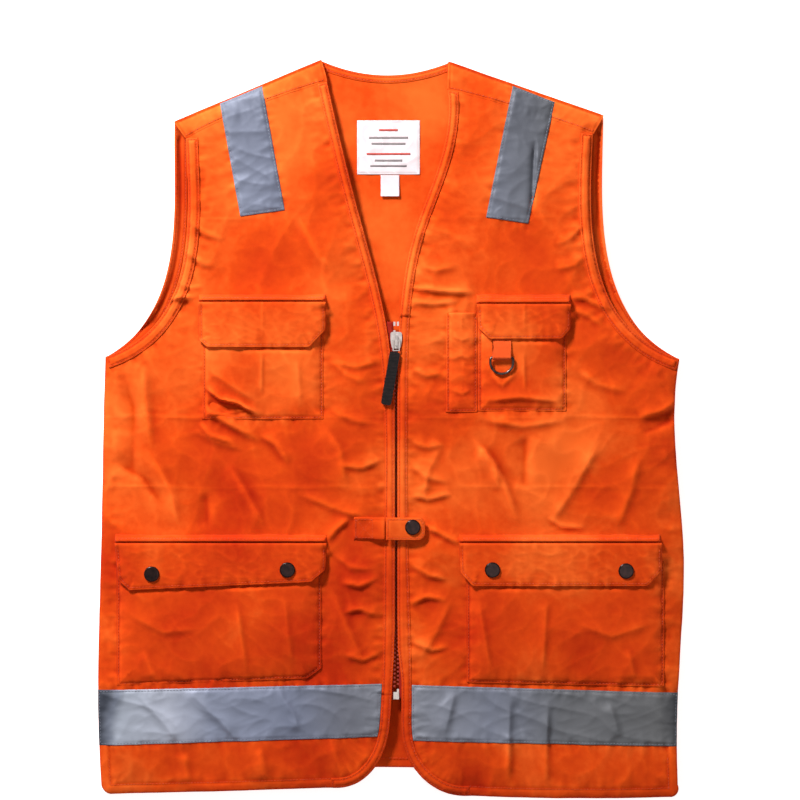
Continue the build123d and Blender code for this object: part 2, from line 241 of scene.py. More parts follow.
def run_where(loop, mask):
    """The longest unbroken run of a closed outline's points that satisfies the mask."""
    count = len(loop)
    best = (0, 0)
    start, length = None, 0
    for i in range(2 * count):
        if mask[i % count]:
            start = i if length == 0 else start
            length += 1
            if best[1] < length <= count:
                best = (start, length)
        else:
            length = 0
    return loop[[(best[0] + k) % count for k in range(best[1])]]


def near(loop, other, reach):
    """Which points of one outline lie within reach of another."""
    return nearest(loop, other, closed=True)[0] < reach


def resample(line, spacing, closed=True, turn=22):
    """The polyline with evenly spaced points, keeping its corners."""
    ends = np.vstack([line, line[:1]]) if closed else line
    step = np.diff(ends, axis=0)
    keep = np.hypot(step[:, 0], step[:, 1]) > 1e-4
    ends = np.vstack([ends[:-1][keep], ends[-1:]])
    step = np.diff(ends, axis=0)
    heading = np.degrees(np.arctan2(step[:, 1], step[:, 0]))
    bend = np.abs((np.diff(heading) + 180) % 360 - 180)
    corners = [0] + [i + 1 for i in range(len(bend)) if bend[i] > turn] + [len(ends) - 1]
    result = []
    for a, b in zip(corners[:-1], corners[1:]):
        part = ends[a : b + 1]
        gaps = np.hypot(*np.diff(part, axis=0).T)
        along = np.concatenate([[0], np.cumsum(gaps)])
        count = max(1, int(round(along[-1] / spacing)))
        at = np.linspace(0, along[-1], count + 1)[:-1]
        result.append(np.column_stack([np.interp(at, along, part[:, k]) for k in (0, 1)]))
    result = np.vstack(result)
    return result if closed else np.vstack([result, ends[-1:]])


def inset(loop, distance):
    """Points a distance inside a closed outline, in order, with its corners trimmed."""
    ahead = np.roll(loop, -1, 0) - np.roll(loop, 1, 0)
    ahead = ahead / np.maximum(np.hypot(ahead[:, 0], ahead[:, 1]), 1e-9)[:, None]
    moved = loop + distance * np.column_stack([-ahead[:, 1], ahead[:, 0]])
    return moved[depth(moved, loop) > 0.95 * distance]


def fill(loop, spacing, rings=()):
    """Points and triangles that cover an outline, with finer rings just inside its edge."""
    edge = resample(loop, spacing)
    low, high = edge.min(0), edge.max(0)
    rows = np.arange(low[1], high[1], 0.866 * spacing)
    grid = []
    for k, y in enumerate(rows):
        xs = np.arange(low[0] + (k % 2) * spacing / 2, high[0], spacing)
        grid.append(np.column_stack([xs, np.full(len(xs), y)]))
    grid = np.vstack(grid)
    margin = max(rings) + 0.5 * spacing if rings else 0.6 * spacing
    grid = grid[depth(grid, edge) > margin]
    layers = [edge] + [inset(edge, ring) for ring in rings] + [grid]
    points = [Vector(p) for p in np.vstack(layers)]
    found = delaunay_2d_cdt(points, [], [list(range(len(edge)))], 1, 0.01)
    return np.array([tuple(p) for p in found[0]]), np.array(found[2])


# ======================================================================================
# Meshes
# ======================================================================================
def bending(heights, triangles, flat):
    """How far each point stands above its neighbours, from about -1 to 1: the strength of the painted
    highlight on crests and the painted shade in hollows.
    """
    pairs = np.vstack([triangles[:, [0, 1]], triangles[:, [1, 2]], triangles[:, [2, 0]]])
    pairs = np.vstack([pairs, pairs[:, ::-1]])
    gap = np.hypot(*(flat[pairs[:, 0]] - flat[pairs[:, 1]]).T)
    slope = (heights[pairs[:, 0]] - heights[pairs[:, 1]]) / np.maximum(gap, 0.3)
    count = np.maximum(np.bincount(pairs[:, 0], minlength=len(flat)), 1)
    value = np.bincount(pairs[:, 0], slope, len(flat)) / count
    value = 0.5 * value + 0.5 * np.bincount(pairs[:, 0], value[pairs[:, 1]], len(flat)) / count
    around = heights
    for _ in range(WIDE_ROUNDS):
        around = 0.4 * around + 0.6 * np.bincount(pairs[:, 0], around[pairs[:, 1]], len(flat)) / count
    broad = np.clip((heights - around) / WIDE_HEIGHT, -1, 1)
    return np.clip(value / 0.15 + 0.5 * broad, -1.2, 1)


def mesh_object(name, points, triangles, material, painted_shade=None):
    """A smooth-shaded object from millimetre points and triangles."""
    mesh = bpy.data.meshes.new(name)
    mesh.vertices.add(len(points))
    mesh.vertices.foreach_set("co", (np.asarray(points) * MM).astype(np.float32).ravel())
    mesh.loops.add(3 * len(triangles))
    mesh.loops.foreach_set("vertex_index", np.asarray(triangles, np.int32).ravel())
    mesh.polygons.add(len(triangles))
    mesh.polygons.foreach_set("loop_start", np.arange(0, 3 * len(triangles), 3, dtype=np.int32))
    mesh.polygons.foreach_set("use_smooth", np.ones(len(triangles), bool))
    mesh.update(calc_edges=True)
    mesh.validate()
    # Per-point painted shade and painted highlight, read by the cloth's colour.
    if painted_shade is not None:
        mesh.attributes.new("painted_shade", "FLOAT", "POINT").data.foreach_set("value", painted_shade.astype(np.float32))
    mesh.materials.append(material)
    obj = bpy.data.objects.new(name, mesh)
    bpy.context.scene.collection.objects.link(obj)
    return obj


def shell(name, flat, triangles, top, bottom, material):
    """A closed piece of cloth between two heights at every point."""
    count = len(flat)
    points = np.vstack([np.column_stack([flat, top]), np.column_stack([flat, bottom])])
    rim = np.array(rim_edges(triangles))
    a, b = rim[:, 0], rim[:, 1]
    walls = np.vstack(
        [np.column_stack([a, a + count, b + count]), np.column_stack([a, b + count, b])]
    )
    faces = np.vstack([triangles, triangles[:, ::-1] + count, walls])
    # Painted shade in the hollows and painted highlight on the crests, on the top face only.
    painted_shade = bending(np.asarray(top, float), triangles, flat)
    return mesh_object(name, points, faces, material, np.concatenate([painted_shade, 0 * painted_shade]))


def swept(name, sections, material, closed_ends=True):
    """A closed tube through sections, each an array of the same number of points."""
    rows, ring = len(sections), len(sections[0])
    points = np.vstack(sections)
    faces = []
    for i in range(rows - 1):
        for k in range(ring):
            a, b = i * ring + k, i * ring + (k + 1) % ring
            faces += [(a, b, b + ring), (a, b + ring, a + ring)]
    if closed_ends:
        for row, flip in ((0, True), (rows - 1, False)):
            middle = len(points)
            points = np.vstack([points, sections[row].mean(0)])
            for k in range(ring):
                a, b = row * ring + k, row * ring + (k + 1) % ring
                faces.append((b, a, middle) if flip else (a, b, middle))
    return mesh_object(name, points, np.array(faces), material)


def dress(piece, body, node):
    """Rides a piece on a body, in place of a CAD node, which is hidden."""
    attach(piece, body)
    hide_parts(node)


def round_edge(away, radius=1.1):
    """1 inside the cloth, falling in a quarter circle to 0 at its cut or folded edge."""
    t = np.clip(away / radius, 0, 1)
    return np.sqrt(1 - (1 - t) ** 2)


def stitch_groove(away, line, width=1.3):
    """How far a stitched line pulls the cloth down at a distance from the edge."""
    return np.exp(-(((away - line) / width) ** 2))


def stitches(name, lines, height, material):
    """Thread along polylines on a surface, as separate small grains."""
    profile = [(-1.0, 0.0), (-0.7, 1.0), (0.7, 1.0), (1.0, 0.0)]
    sides = 5
    grains, triangles = [], []
    centres, heads = [], []
    for line in lines:
        gaps = np.hypot(*np.diff(line, axis=0).T)
        along = np.concatenate([[0], np.cumsum(gaps)])
        at = np.arange(STITCH_PITCH / 2, along[-1], STITCH_PITCH)
        if len(at) < 2:
            continue
        here = np.column_stack([np.interp(at, along, line[:, k]) for k in (0, 1)])
        later = np.column_stack([np.interp(at + 0.2, along, line[:, k]) for k in (0, 1)])
        sooner = np.column_stack([np.interp(at - 0.2, along, line[:, k]) for k in (0, 1)])
        centres.append(here)
        heads.append(later - sooner)
    centres, heads = np.vstack(centres), np.vstack(heads)
    heads = heads / np.maximum(np.hypot(heads[:, 0], heads[:, 1]), 1e-9)[:, None]
    z = height(centres)
    for k in range(len(centres)):
        base = len(grains)
        along = np.array([heads[k, 0], heads[k, 1], 0.0])
        across = np.array([-heads[k, 1], heads[k, 0], 0.0])
        middle = np.array([centres[k, 0], centres[k, 1], z[k] + 0.1])
        for reach, radius in profile:
            for m in range(sides):
                turn = 2 * math.pi * m / sides
                offset = math.cos(turn) * across + math.sin(turn) * np.array([0, 0, 1.0])
                grains.append(
                    middle + reach * STITCH_LENGTH / 2 * along + radius * STITCH_RADIUS * offset
                )
        for row in range(3):
            for m in range(sides):
                a, b = base + row * sides + m, base + row * sides + (m + 1) % sides
                triangles += [(a, b, b + sides), (a, b + sides, a + sides)]
    return mesh_object(name, np.array(grains), np.array(triangles)[:, ::-1], material)


# ======================================================================================
# Materials
# ======================================================================================
ORANGE_SHADE_TINT = (0.26, 0.5, 0.85)  # change of red, green and blue from the painted shade in a hollow to the painted highlight on a crest
# For white and grey cloth the painted shade and highlight change all three colours alike.
PLAIN_SHADE_TINT = (0.3, 0.3, 0.3)


def linear(red, green, blue):
    """An sRGB colour, 0 to 255, as a linear RGBA tuple."""
    values = [c / 255 for c in (red, green, blue)]
    return (*[v / 12.92 if v < 0.04045 else ((v + 0.055) / 1.055) ** 2.4 for v in values], 1)


def new_material(name, roughness, metallic=0.0, sheen=0.0):
    material = bpy.data.materials.new(name)
    material.use_nodes = True
    nodes = material.node_tree.nodes
    shader = nodes["Principled BSDF"]
    shader.inputs["Roughness"].default_value = roughness
    shader.inputs["Metallic"].default_value = metallic
    shader.inputs["Sheen Weight"].default_value = sheen
    shader.inputs["Sheen Roughness"].default_value = 0.5
    shader.inputs["Specular IOR Level"].default_value = 0.1 if sheen else 0.5
    return material, nodes, material.node_tree.links, shader


def noise_node(nodes, links, place, scale, detail=3.0):
    node = nodes.new("ShaderNodeTexNoise")
    node.inputs["Scale"].default_value = scale
    node.inputs["Detail"].default_value = detail
    links.new(place.outputs["Object"], node.inputs["Vector"])
    return node


def colour_ramp(nodes, links, source, stops):
    ramp = nodes.new("ShaderNodeValToRGB")
    ramp.color_ramp.elements[0].position = stops[0][0]
    ramp.color_ramp.elements[0].color = stops[0][1]
    ramp.color_ramp.elements[1].position = stops[-1][0]
    ramp.color_ramp.elements[1].color = stops[-1][1]
    for position, colour in stops[1:-1]:
        ramp.color_ramp.elements.new(position).color = colour
    links.new(source, ramp.inputs["Fac"])
    return ramp


def calculate(nodes, links, kind, operation, *inputs):
    """A Math or VectorMath node; each input is a socket to link, or a value to set."""
    node = nodes.new(f"ShaderNode{kind}")
    node.operation = operation
    for socket, source in zip(node.inputs, inputs):
        if isinstance(source, bpy.types.NodeSocket):
            links.new(source, socket)
        else:
            socket.default_value = source
    return node.outputs[0]


def scaled_colour(nodes, links, colour, amount):
    node = nodes.new("ShaderNodeVectorMath")
    node.operation = "SCALE"
    links.new(colour, node.inputs[0])
    links.new(amount, node.inputs["Scale"])
    return node.outputs["Vector"]


def along_axis(nodes, links, place, axis, start, end, low=0.0, high=1.0):
    """A value that goes from low to high between two places along an axis."""
    split = nodes.new("ShaderNodeSeparateXYZ")
    links.new(place.outputs["Object"], split.inputs["Vector"])
    node = nodes.new("ShaderNodeMapRange")
    node.inputs["From Min"].default_value = start
    node.inputs["From Max"].default_value = end
    node.inputs["To Min"].default_value = low
    node.inputs["To Max"].default_value = high
    links.new(split.outputs[axis], node.inputs["Value"])
    return node.outputs["Result"]


def wave_node(nodes, links, vector, axis, period, distortion):
    """Even bands across an axis, that many millimetres apart."""
    wave = nodes.new("ShaderNodeTexWave")
    wave.bands_direction = axis
    wave.inputs["Scale"].default_value = 1 / (period * MM) / 20 * 2 * math.pi
    wave.inputs["Distortion"].default_value = distortion
    links.new(vector, wave.inputs["Vector"])
    return wave


def add_bump(nodes, links, shader, source, strength, depth_mm):
    bump = nodes.new("ShaderNodeBump")
    bump.inputs["Strength"].default_value = strength
    bump.inputs["Distance"].default_value = depth_mm * MM
    links.new(source, bump.inputs["Height"])
    links.new(bump.outputs["Normal"], shader.inputs["Normal"])


def weave_bump(nodes, links, place, shader, period, strength, grain):
    """Two crossed sets of threads and a fine fuzz, as a bump."""
    turned = nodes.new("ShaderNodeMapping")
    turned.inputs["Rotation"].default_value = (0, 0, math.radians(12))
    links.new(place.outputs["Object"], turned.inputs["Vector"])
    vector = turned.outputs["Vector"]
    warp, weft = [wave_node(nodes, links, vector, axis, period, 0.6) for axis in ("X", "Y")]
    threads = calculate(nodes, links, "Math", "MAXIMUM", warp.outputs["Fac"], weft.outputs["Fac"])
    fuzz = noise_node(nodes, links, place, grain, 4.0)
    total = calculate(nodes, links, "Math", "ADD", threads, fuzz.outputs["Fac"])
    add_bump(nodes, links, shader, total, strength, 0.12)


def cloth_material(name, dark, middle, light, sheen=0.03, strength=0.5, shade_tint=ORANGE_SHADE_TINT):
    """Woven drill: uneven dye in patches over a fine weave, with painted light: paler towards the top, a
    painted highlight on its crests, and painted shade, redder, in its hollows."""
    material, nodes, links, shader = new_material(name, 0.88, sheen=sheen)
    place = nodes.new("ShaderNodeTexCoord")
    large = noise_node(nodes, links, place, 9.0, 4.0).outputs["Fac"]
    small = noise_node(nodes, links, place, 160.0, 3.0).outputs["Fac"]
    dye = calculate(nodes, links, "Math", "MULTIPLY_ADD", small, 0.14, large)
    # Painted light: the cloth is painted paler towards the top, as though nearer the lamp.
    painted_light_upward = along_axis(nodes, links, place, "Y", -0.2, 0.32, -0.03, 0.11)
    shade = calculate(nodes, links, "Math", "ADD", dye, painted_light_upward)
    ramp = colour_ramp(nodes, links, shade, [(0.38, dark), (0.58, middle), (0.76, light)])
    # Painted shade in hollows and painted highlight on crests, from the per-point attribute.
    shade_attribute = nodes.new("ShaderNodeAttribute")
    shade_attribute.attribute_name = "painted_shade"
    painted_shade = shade_attribute.outputs["Fac"]
    gain = calculate(nodes, links, "VectorMath", "MULTIPLY_ADD", painted_shade, shade_tint, (1, 1, 1))
    tinted = calculate(nodes, links, "VectorMath", "MULTIPLY", ramp.outputs["Color"], gain)
    links.new(tinted, shader.inputs["Base Color"])
    weave_bump(nodes, links, place, shader, 0.9, strength, 900.0)
    return material


def tape_material():
    """Glass-bead tape: blue-grey, with painted light: a painted reflection lighter towards the wearer's
    right, painted shade at its ends where it wraps round the sides, and painted shade towards the
    shoulders."""
    material, nodes, links, shader = new_material("reflective_tape", 0.58, metallic=0.2)
    place = nodes.new("ShaderNodeTexCoord")
    large = noise_node(nodes, links, place, 14.0, 3.0).outputs["Fac"]
    # Painted reflection and painted shade laid across the vest from side to side.
    across = along_axis(nodes, links, place, "X", -0.29, 0.29, -0.03, 0.97)
    total = calculate(nodes, links, "Math", "MULTIPLY_ADD", large, 0.06, across)
    # Painted shade at both ends where the tape wraps round the sides, a painted highlight near the
    # wearer's right, and a duller painted reflection towards the left.
    stops = [
        (0.014, linear(64, 68, 80)),
        (0.03, linear(124, 130, 146)),
        (0.045, linear(172, 178, 192)),
        (0.13, linear(184, 188, 204)),
        (0.2, linear(146, 152, 174)),
        (0.33, linear(124, 130, 152)),
        (0.42, linear(112, 114, 126)),
        (0.52, linear(138, 140, 150)),
        (0.66, linear(124, 128, 144)),
        (0.79, linear(108, 109, 114)),
        (0.95, linear(110, 110, 112)),
        (0.985, linear(70, 70, 74)),
    ]
    ramp = colour_ramp(nodes, links, total, stops)
    # Painted shade: the tape is painted darker towards the shoulders.
    painted_shade_up = along_axis(nodes, links, place, "Y", 0.1, 0.33, 1.0, 0.62)
    shaded_tape = scaled_colour(nodes, links, ramp.outputs["Color"], painted_shade_up)
    links.new(shaded_tape, shader.inputs["Base Color"])
    beads = noise_node(nodes, links, place, 1400.0, 2.0).outputs["Fac"]
    add_bump(nodes, links, shader, beads, 0.35, 0.08)
    return material


def worn_material(name, dark, light, roughness, metallic, grain=220.0, specular=0.5):
    """Metal or plastic with rubbed and dull patches."""
    material, nodes, links, shader = new_material(name, roughness, metallic)
    shader.inputs["Specular IOR Level"].default_value = specular
    place = nodes.new("ShaderNodeTexCoord")
    patches = noise_node(nodes, links, place, grain, 5.0)
    ramp = colour_ramp(nodes, links, patches.outputs["Fac"], [(0.35, dark), (0.7, light)])
    links.new(ramp.outputs["Color"], shader.inputs["Base Color"])
    scratches = noise_node(nodes, links, place, 4 * grain, 2.0)
    add_bump(nodes, links, shader, scratches.outputs["Fac"], 0.2, 0.05)
    return material


def puller_material():
    """Black moulded plastic with ribs across it."""
    dark, light = linear(9, 5, 6), linear(30, 18, 18)
    material = worn_material("puller", dark, light, 0.4, 0.0, 420.0, 0.3)
    nodes, links = material.node_tree.nodes, material.node_tree.links
    place = nodes["Texture Coordinate"]
    ribs = wave_node(nodes, links, place.outputs["Object"], "Y", 3.4, 0.8)
    bump = nodes["Bump"]
    links.new(ribs.outputs["Fac"], bump.inputs["Height"])
    bump.inputs["Strength"].default_value = 0.7
    bump.inputs["Distance"].default_value = 0.3 * MM
    return material


def teeth_material():
    """Teeth: pale metal where the fronts part above the slider, and painted shade, dull red, below it
    between the closed fronts.
    """
    # dull is painted shade for teeth shaded between the closed fronts; bright is the teeth's own pale
    # metal.
    dull, bright = linear(168, 52, 36), linear(226, 204, 198)
    material = worn_material("zip_teeth", dull, bright, 0.35, 0.25)
    nodes, links = material.node_tree.nodes, material.node_tree.links
    place = nodes.new("ShaderNodeTexCoord")
    slider_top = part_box("zip_slider")[1].y
    # Painted shade: below the slider's top the teeth are painted dull red, as though shaded between the
    # closed fronts.
    height = along_axis(nodes, links, place, "Y", slider_top - 0.012, slider_top - 0.002)
    links.new(height, nodes["Color Ramp"].inputs["Fac"])
    return material


CLOTH = cloth_material("orange_cloth", linear(200, 46, 4), linear(228, 73, 11), linear(250, 104, 34))
BINDING = cloth_material("orange_binding", linear(196, 44, 4), linear(224, 68, 10), linear(246, 99, 32))
POCKET = cloth_material("pocket_cloth", linear(198, 45, 4), linear(227, 71, 11), linear(250, 104, 34))
TAPE = tape_material()
THREAD = cloth_material("thread", linear(205, 60, 14), linear(228, 80, 24), linear(244, 112, 60), 0.3)
GREY_THREAD = cloth_material(
    "grey_thread", linear(112, 114, 126), linear(128, 131, 146), linear(150, 153, 168), shade_tint=PLAIN_SHADE_TINT
)
ZIP_TAPE = cloth_material("zip_tape", linear(126, 22, 14), linear(158, 34, 22), linear(184, 46, 30))
WEBBING = cloth_material(
    "webbing", linear(196, 52, 14), linear(222, 72, 22), linear(240, 92, 36), 0.1, 1.0
)
HOOK_LOOP = cloth_material(
    "hook_loop", linear(180, 50, 14), linear(205, 66, 22), linear(228, 86, 34), 0.5, 1.0
)
LABEL = cloth_material(
    "label", linear(232, 214, 216), linear(241, 226, 229), linear(248, 237, 240), 0.1, 0.6, PLAIN_SHADE_TINT
)
LABEL_RED = cloth_material("label_red", linear(186, 60, 52), linear(200, 76, 66), linear(214, 98, 88))
LABEL_GREY = cloth_material(
    "label_grey", linear(120, 108, 110), linear(140, 128, 130), linear(158, 148, 148), shade_tint=PLAIN_SHADE_TINT
)
TEETH = teeth_material()
STEEL = worn_material("zip_metal", linear(196, 184, 178), linear(240, 226, 220), 0.34, 0.5)
PULLER = puller_material()
SNAP = worn_material("snap_metal", linear(30, 16, 15), linear(58, 34, 32), 0.28, 0.6)
RING = worn_material("ring_metal", linear(52, 40, 38), linear(110, 100, 98), 0.3, 0.85)


# ======================================================================================
# The shape that the front lies in
# ======================================================================================
# A fold is a line of points, then its width and height. A negative height is a hollow.
FOLDS = {
    "right": [
        ([(-184, 129), (-208, 127), (-236, 118)], 3.2, 1.5),
        ([(-198, 205), (-182, 190), (-160, 184)], 4.0, 1.3),
        ([(-203, 176), (-184, 160), (-168, 158)], 3.6, 1.3),
        ([(-212, 146), (-196, 137), (-178, 140)], 3.6, 1.0),
        ([(-241, 64), (-238, 20), (-232, -24)], 6.0, 1.8),
        ([(-262, 60), (-250, 20), (-252, -60)], 7.0, -1.2),
        ([(-186, 22), (-155, 4), (-124, -12)], 4.5, 1.9),
        ([(-192, 0), (-170, -12), (-140, -20)], 4.0, 1.2),
        ([(-159, -32), (-140, -65), (-122, -98)], 5.0, 1.5),
        ([(-93, -61), (-50, -78), (-16, -88)], 4.5, 1.3),
        ([(-66, 4), (-50, -20), (-44, -60)], 5.0, 1.1),
        ([(-60, 70), (-42, 52), (-20, 44)], 4.0, 0.9),
        ([(-60, 20), (-36, 8), (-12, 6)], 3.5, 0.9),
        ([(-52, 150), (-70, 168), (-92, 210)], 6.0, 1.0),
        ([(-236, -20), (-214, -60), (-206, -98)], 5.0, 1.2),
        ([(-60, -150), (-44, -190), (-24, -236)], 5.0, 1.0),
        ([(-56, -120), (-38, -134), (-14, -136)], 3.5, 1.0),
        ([(-246, -256), (-222, -282), (-206, -302)], 5.0, 1.1),
        ([(-196, -254), (-168, -280), (-150, -300)], 5.0, 1.2),
        ([(-112, -250), (-94, -276), (-88, -298)], 4.5, 1.1),
        ([(-200, -312), (-198, -346)], 5.0, 1.0),
        ([(-128, -306), (-122, -344)], 5.0, 1.2),
        ([(-60, -300), (-46, -338)], 5.0, 1.0),
        ([(-8, -28), (-28, -38), (-52, -34)], 3.4, 1.2),
        ([(-9, -142), (-30, -152), (-50, -148)], 3.2, 1.4),
        ([(-10, -182), (-30, -174), (-48, -178)], 3.2, 1.3),
        ([(-8, -216), (-28, -224), (-46, -218)], 3.2, 1.2),
        ([(-12, 66), (-34, 60), (-54, 66)], 3.2, 1.1),
        ([(-40, -86), (-54, -98), (-62, -110)], 3.2, 1.6),
        ([(-186, 8), (-176, -6), (-150, -14)], 2.6, 1.6),
        ([(-128, -4), (-112, -14), (-98, -34)], 4.0, 1.4),
        ([(-270, -30), (-240, -46), (-220, -76)], 6.0, -1.4),
        ([(-180, -60), (-178, -98)], 6.0, -1.3),
    ],
    "left": [
        ([(17, 138), (46, 134), (84, 132)], 3.6, 2.2),
        ([(18, 124), (40, 121), (66, 124)], 3.0, 1.3),
        ([(172, 129), (190, 126), (214, 114)], 3.4, 1.7),
        ([(174, 117), (192, 110), (206, 100)], 3.2, 1.3),
        ([(188, 200), (172, 184), (158, 180)], 4.0, 1.2),
        ([(190, 168), (176, 158), (158, 156)], 3.6, 1.0),
        ([(34, 196), (58, 190), (86, 172)], 6.0, 0.9),
        ([(86, 10), (128, 3), (172, 10)], 4.5, 1.5),
        ([(178, 60), (200, 44), (232, 36)], 5.0, 1.2),
        ([(280, 30), (262, 17), (238, 12)], 5.0, 1.9),
        ([(278, 12), (258, 2), (240, -4)], 5.0, -1.4),
        ([(76, -4), (108, -50), (124, -96)], 5.0, 1.4),
        ([(204, -8), (176, -58), (150, -96)], 5.5, 1.3),
        ([(50, -12), (36, -40), (30, -70)], 5.0, 1.1),
        ([(240, -22), (232, -60), (216, -100)], 6.0, 1.2),
        ([(16, -30), (34, -46), (60, -52)], 4.0, 1.0),
        ([(60, -160), (44, -196), (26, -224)], 5.0, 1.0),
        ([(115, -258), (113, -346)], 4.5, 1.6),
        ([(152, -258), (149, -350)], 4.5, 1.5),
        ([(210, -262), (222, -300)], 5.0, 1.1),
        ([(62, -254), (50, -300)], 5.0, 1.2),
        ([(34, -94), (52, -103), (68, -112)], 3.0, 1.8),
        ([(16, -62), (36, -68), (60, -62)], 3.2, 1.5),
        ([(14, -8), (34, -18), (52, -14)], 3.4, 1.4),
        ([(15, -128), (38, -142), (58, -146)], 3.2, 1.4),
        ([(15, -172), (34, -162), (56, -166)], 3.2, 1.3),
        ([(18, -204), (40, -214), (58, -210)], 3.2, 1.2),
        ([(20, 60), (34, 52), (50, 54)], 3.0, 1.1),
        ([(22, 160), (44, 154), (66, 158)], 3.6, 0.9),
        ([(140, 284), (138, 246), (136, 206)], 1.7, -2.0),
        ([(84, -16), (100, -34), (104, -60)], 5.0, 1.6),
        ([(150, -84), (166, -94), (190, -96)], 3.0, 1.3),
        ([(130, 0), (128, -60)], 7.0, -1.4),
        ([(120, -262), (128, -300)], 6.0, -1.2),
    ],
}
CREASES = [(12.0, 1.0), (-56.0, 0.9), (205.0, 0.6)]  # packing folds: height up the vest, size
DROP_WAY = np.array([0.55, -0.83])  # folds are pushed over towards the hem and the left side


def fold_relief(p, folds):
    """Folds with a gentle side and a steep side, fading out at both ends."""
    total = np.zeros(len(p))
    for points, width, height in folds:
        line = resample(np.array(points, float), 5.0, closed=False, turn=180)
        away, along, side = nearest(p, line, reach=15 * width)
        way = line[-1] - line[0]
        leans = np.sign(-way[1] * DROP_WAY[0] + way[0] * DROP_WAY[1])
        spread = np.where(side * leans > 0, 0.75 * width, 2.3 * width)
        run = np.hypot(*np.diff(line, axis=0).T).sum()
        ends = smooth(along / run, -0.02, 0.28) * (1 - smooth(along / run, 0.72, 1.02))
        crest = 0.65 * np.exp(-((away / spread) ** 2)) + 0.35 * np.exp(-away / (0.7 * spread))
        beyond = smooth(away, 0, 2 * width) * np.exp(-away / (2.5 * width))
        total += height * ends * (crest - 0.3 * beyond)
    return total


# The cloth's own relief: kind, height, size, how far it slants and turns, and its seed's step.
RELIEF = (
    (noise, 2.0, 96, 0.0, 0.0, 0),
    (noise, 1.2, 46, 0.4, 0.0, 1),
    (ridged, 0.8, 70, 0.3, -0.4, 2),
    (ridged, 0.45, 33, -0.5, 0.3, 3),
    (noise, 0.1, 12, 0.0, 0.0, 4),
)
FOLD_GAIN = 1.8


def closed_up(loop):
    """Brings the folded edges beside the zip together over its teeth."""
    low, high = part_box("zip_teeth_right")[1].x / MM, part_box("zip_teeth_left")[0].x / MM
    middle = (low + high) / 2
    x, y = loop[:, 0], loop[:, 1]
    weight = smooth(y, -240, -205) * (1 - smooth(y, 20, 60)) * (np.abs(x - middle) < 6)
    target = middle + np.sign(x - middle) * ZIP_GAP / 2
    return np.column_stack([x + weight * (target - x), y])


def puckers(p, line, size, pitch, reach, seed, offset=0.0, closed=False):
    """Gathers that stand across a seam and die away from it."""
    away, along, _ = nearest(p, line, closed, offset + 6 * reach)
    beyond = np.maximum(away - offset, 0)
    wave = noise(along, 0.30 * away + seed * 7.3, pitch, seed)
    wave = wave + 0.5 * noise(along, 0.45 * away, 0.45 * pitch, seed + 1)
    calm = 0.2 + 0.8 * smooth(away, 0.75 * offset, 1.4 * offset) if offset else 1.0
    return size * wave * calm * np.exp(-beyond / reach)


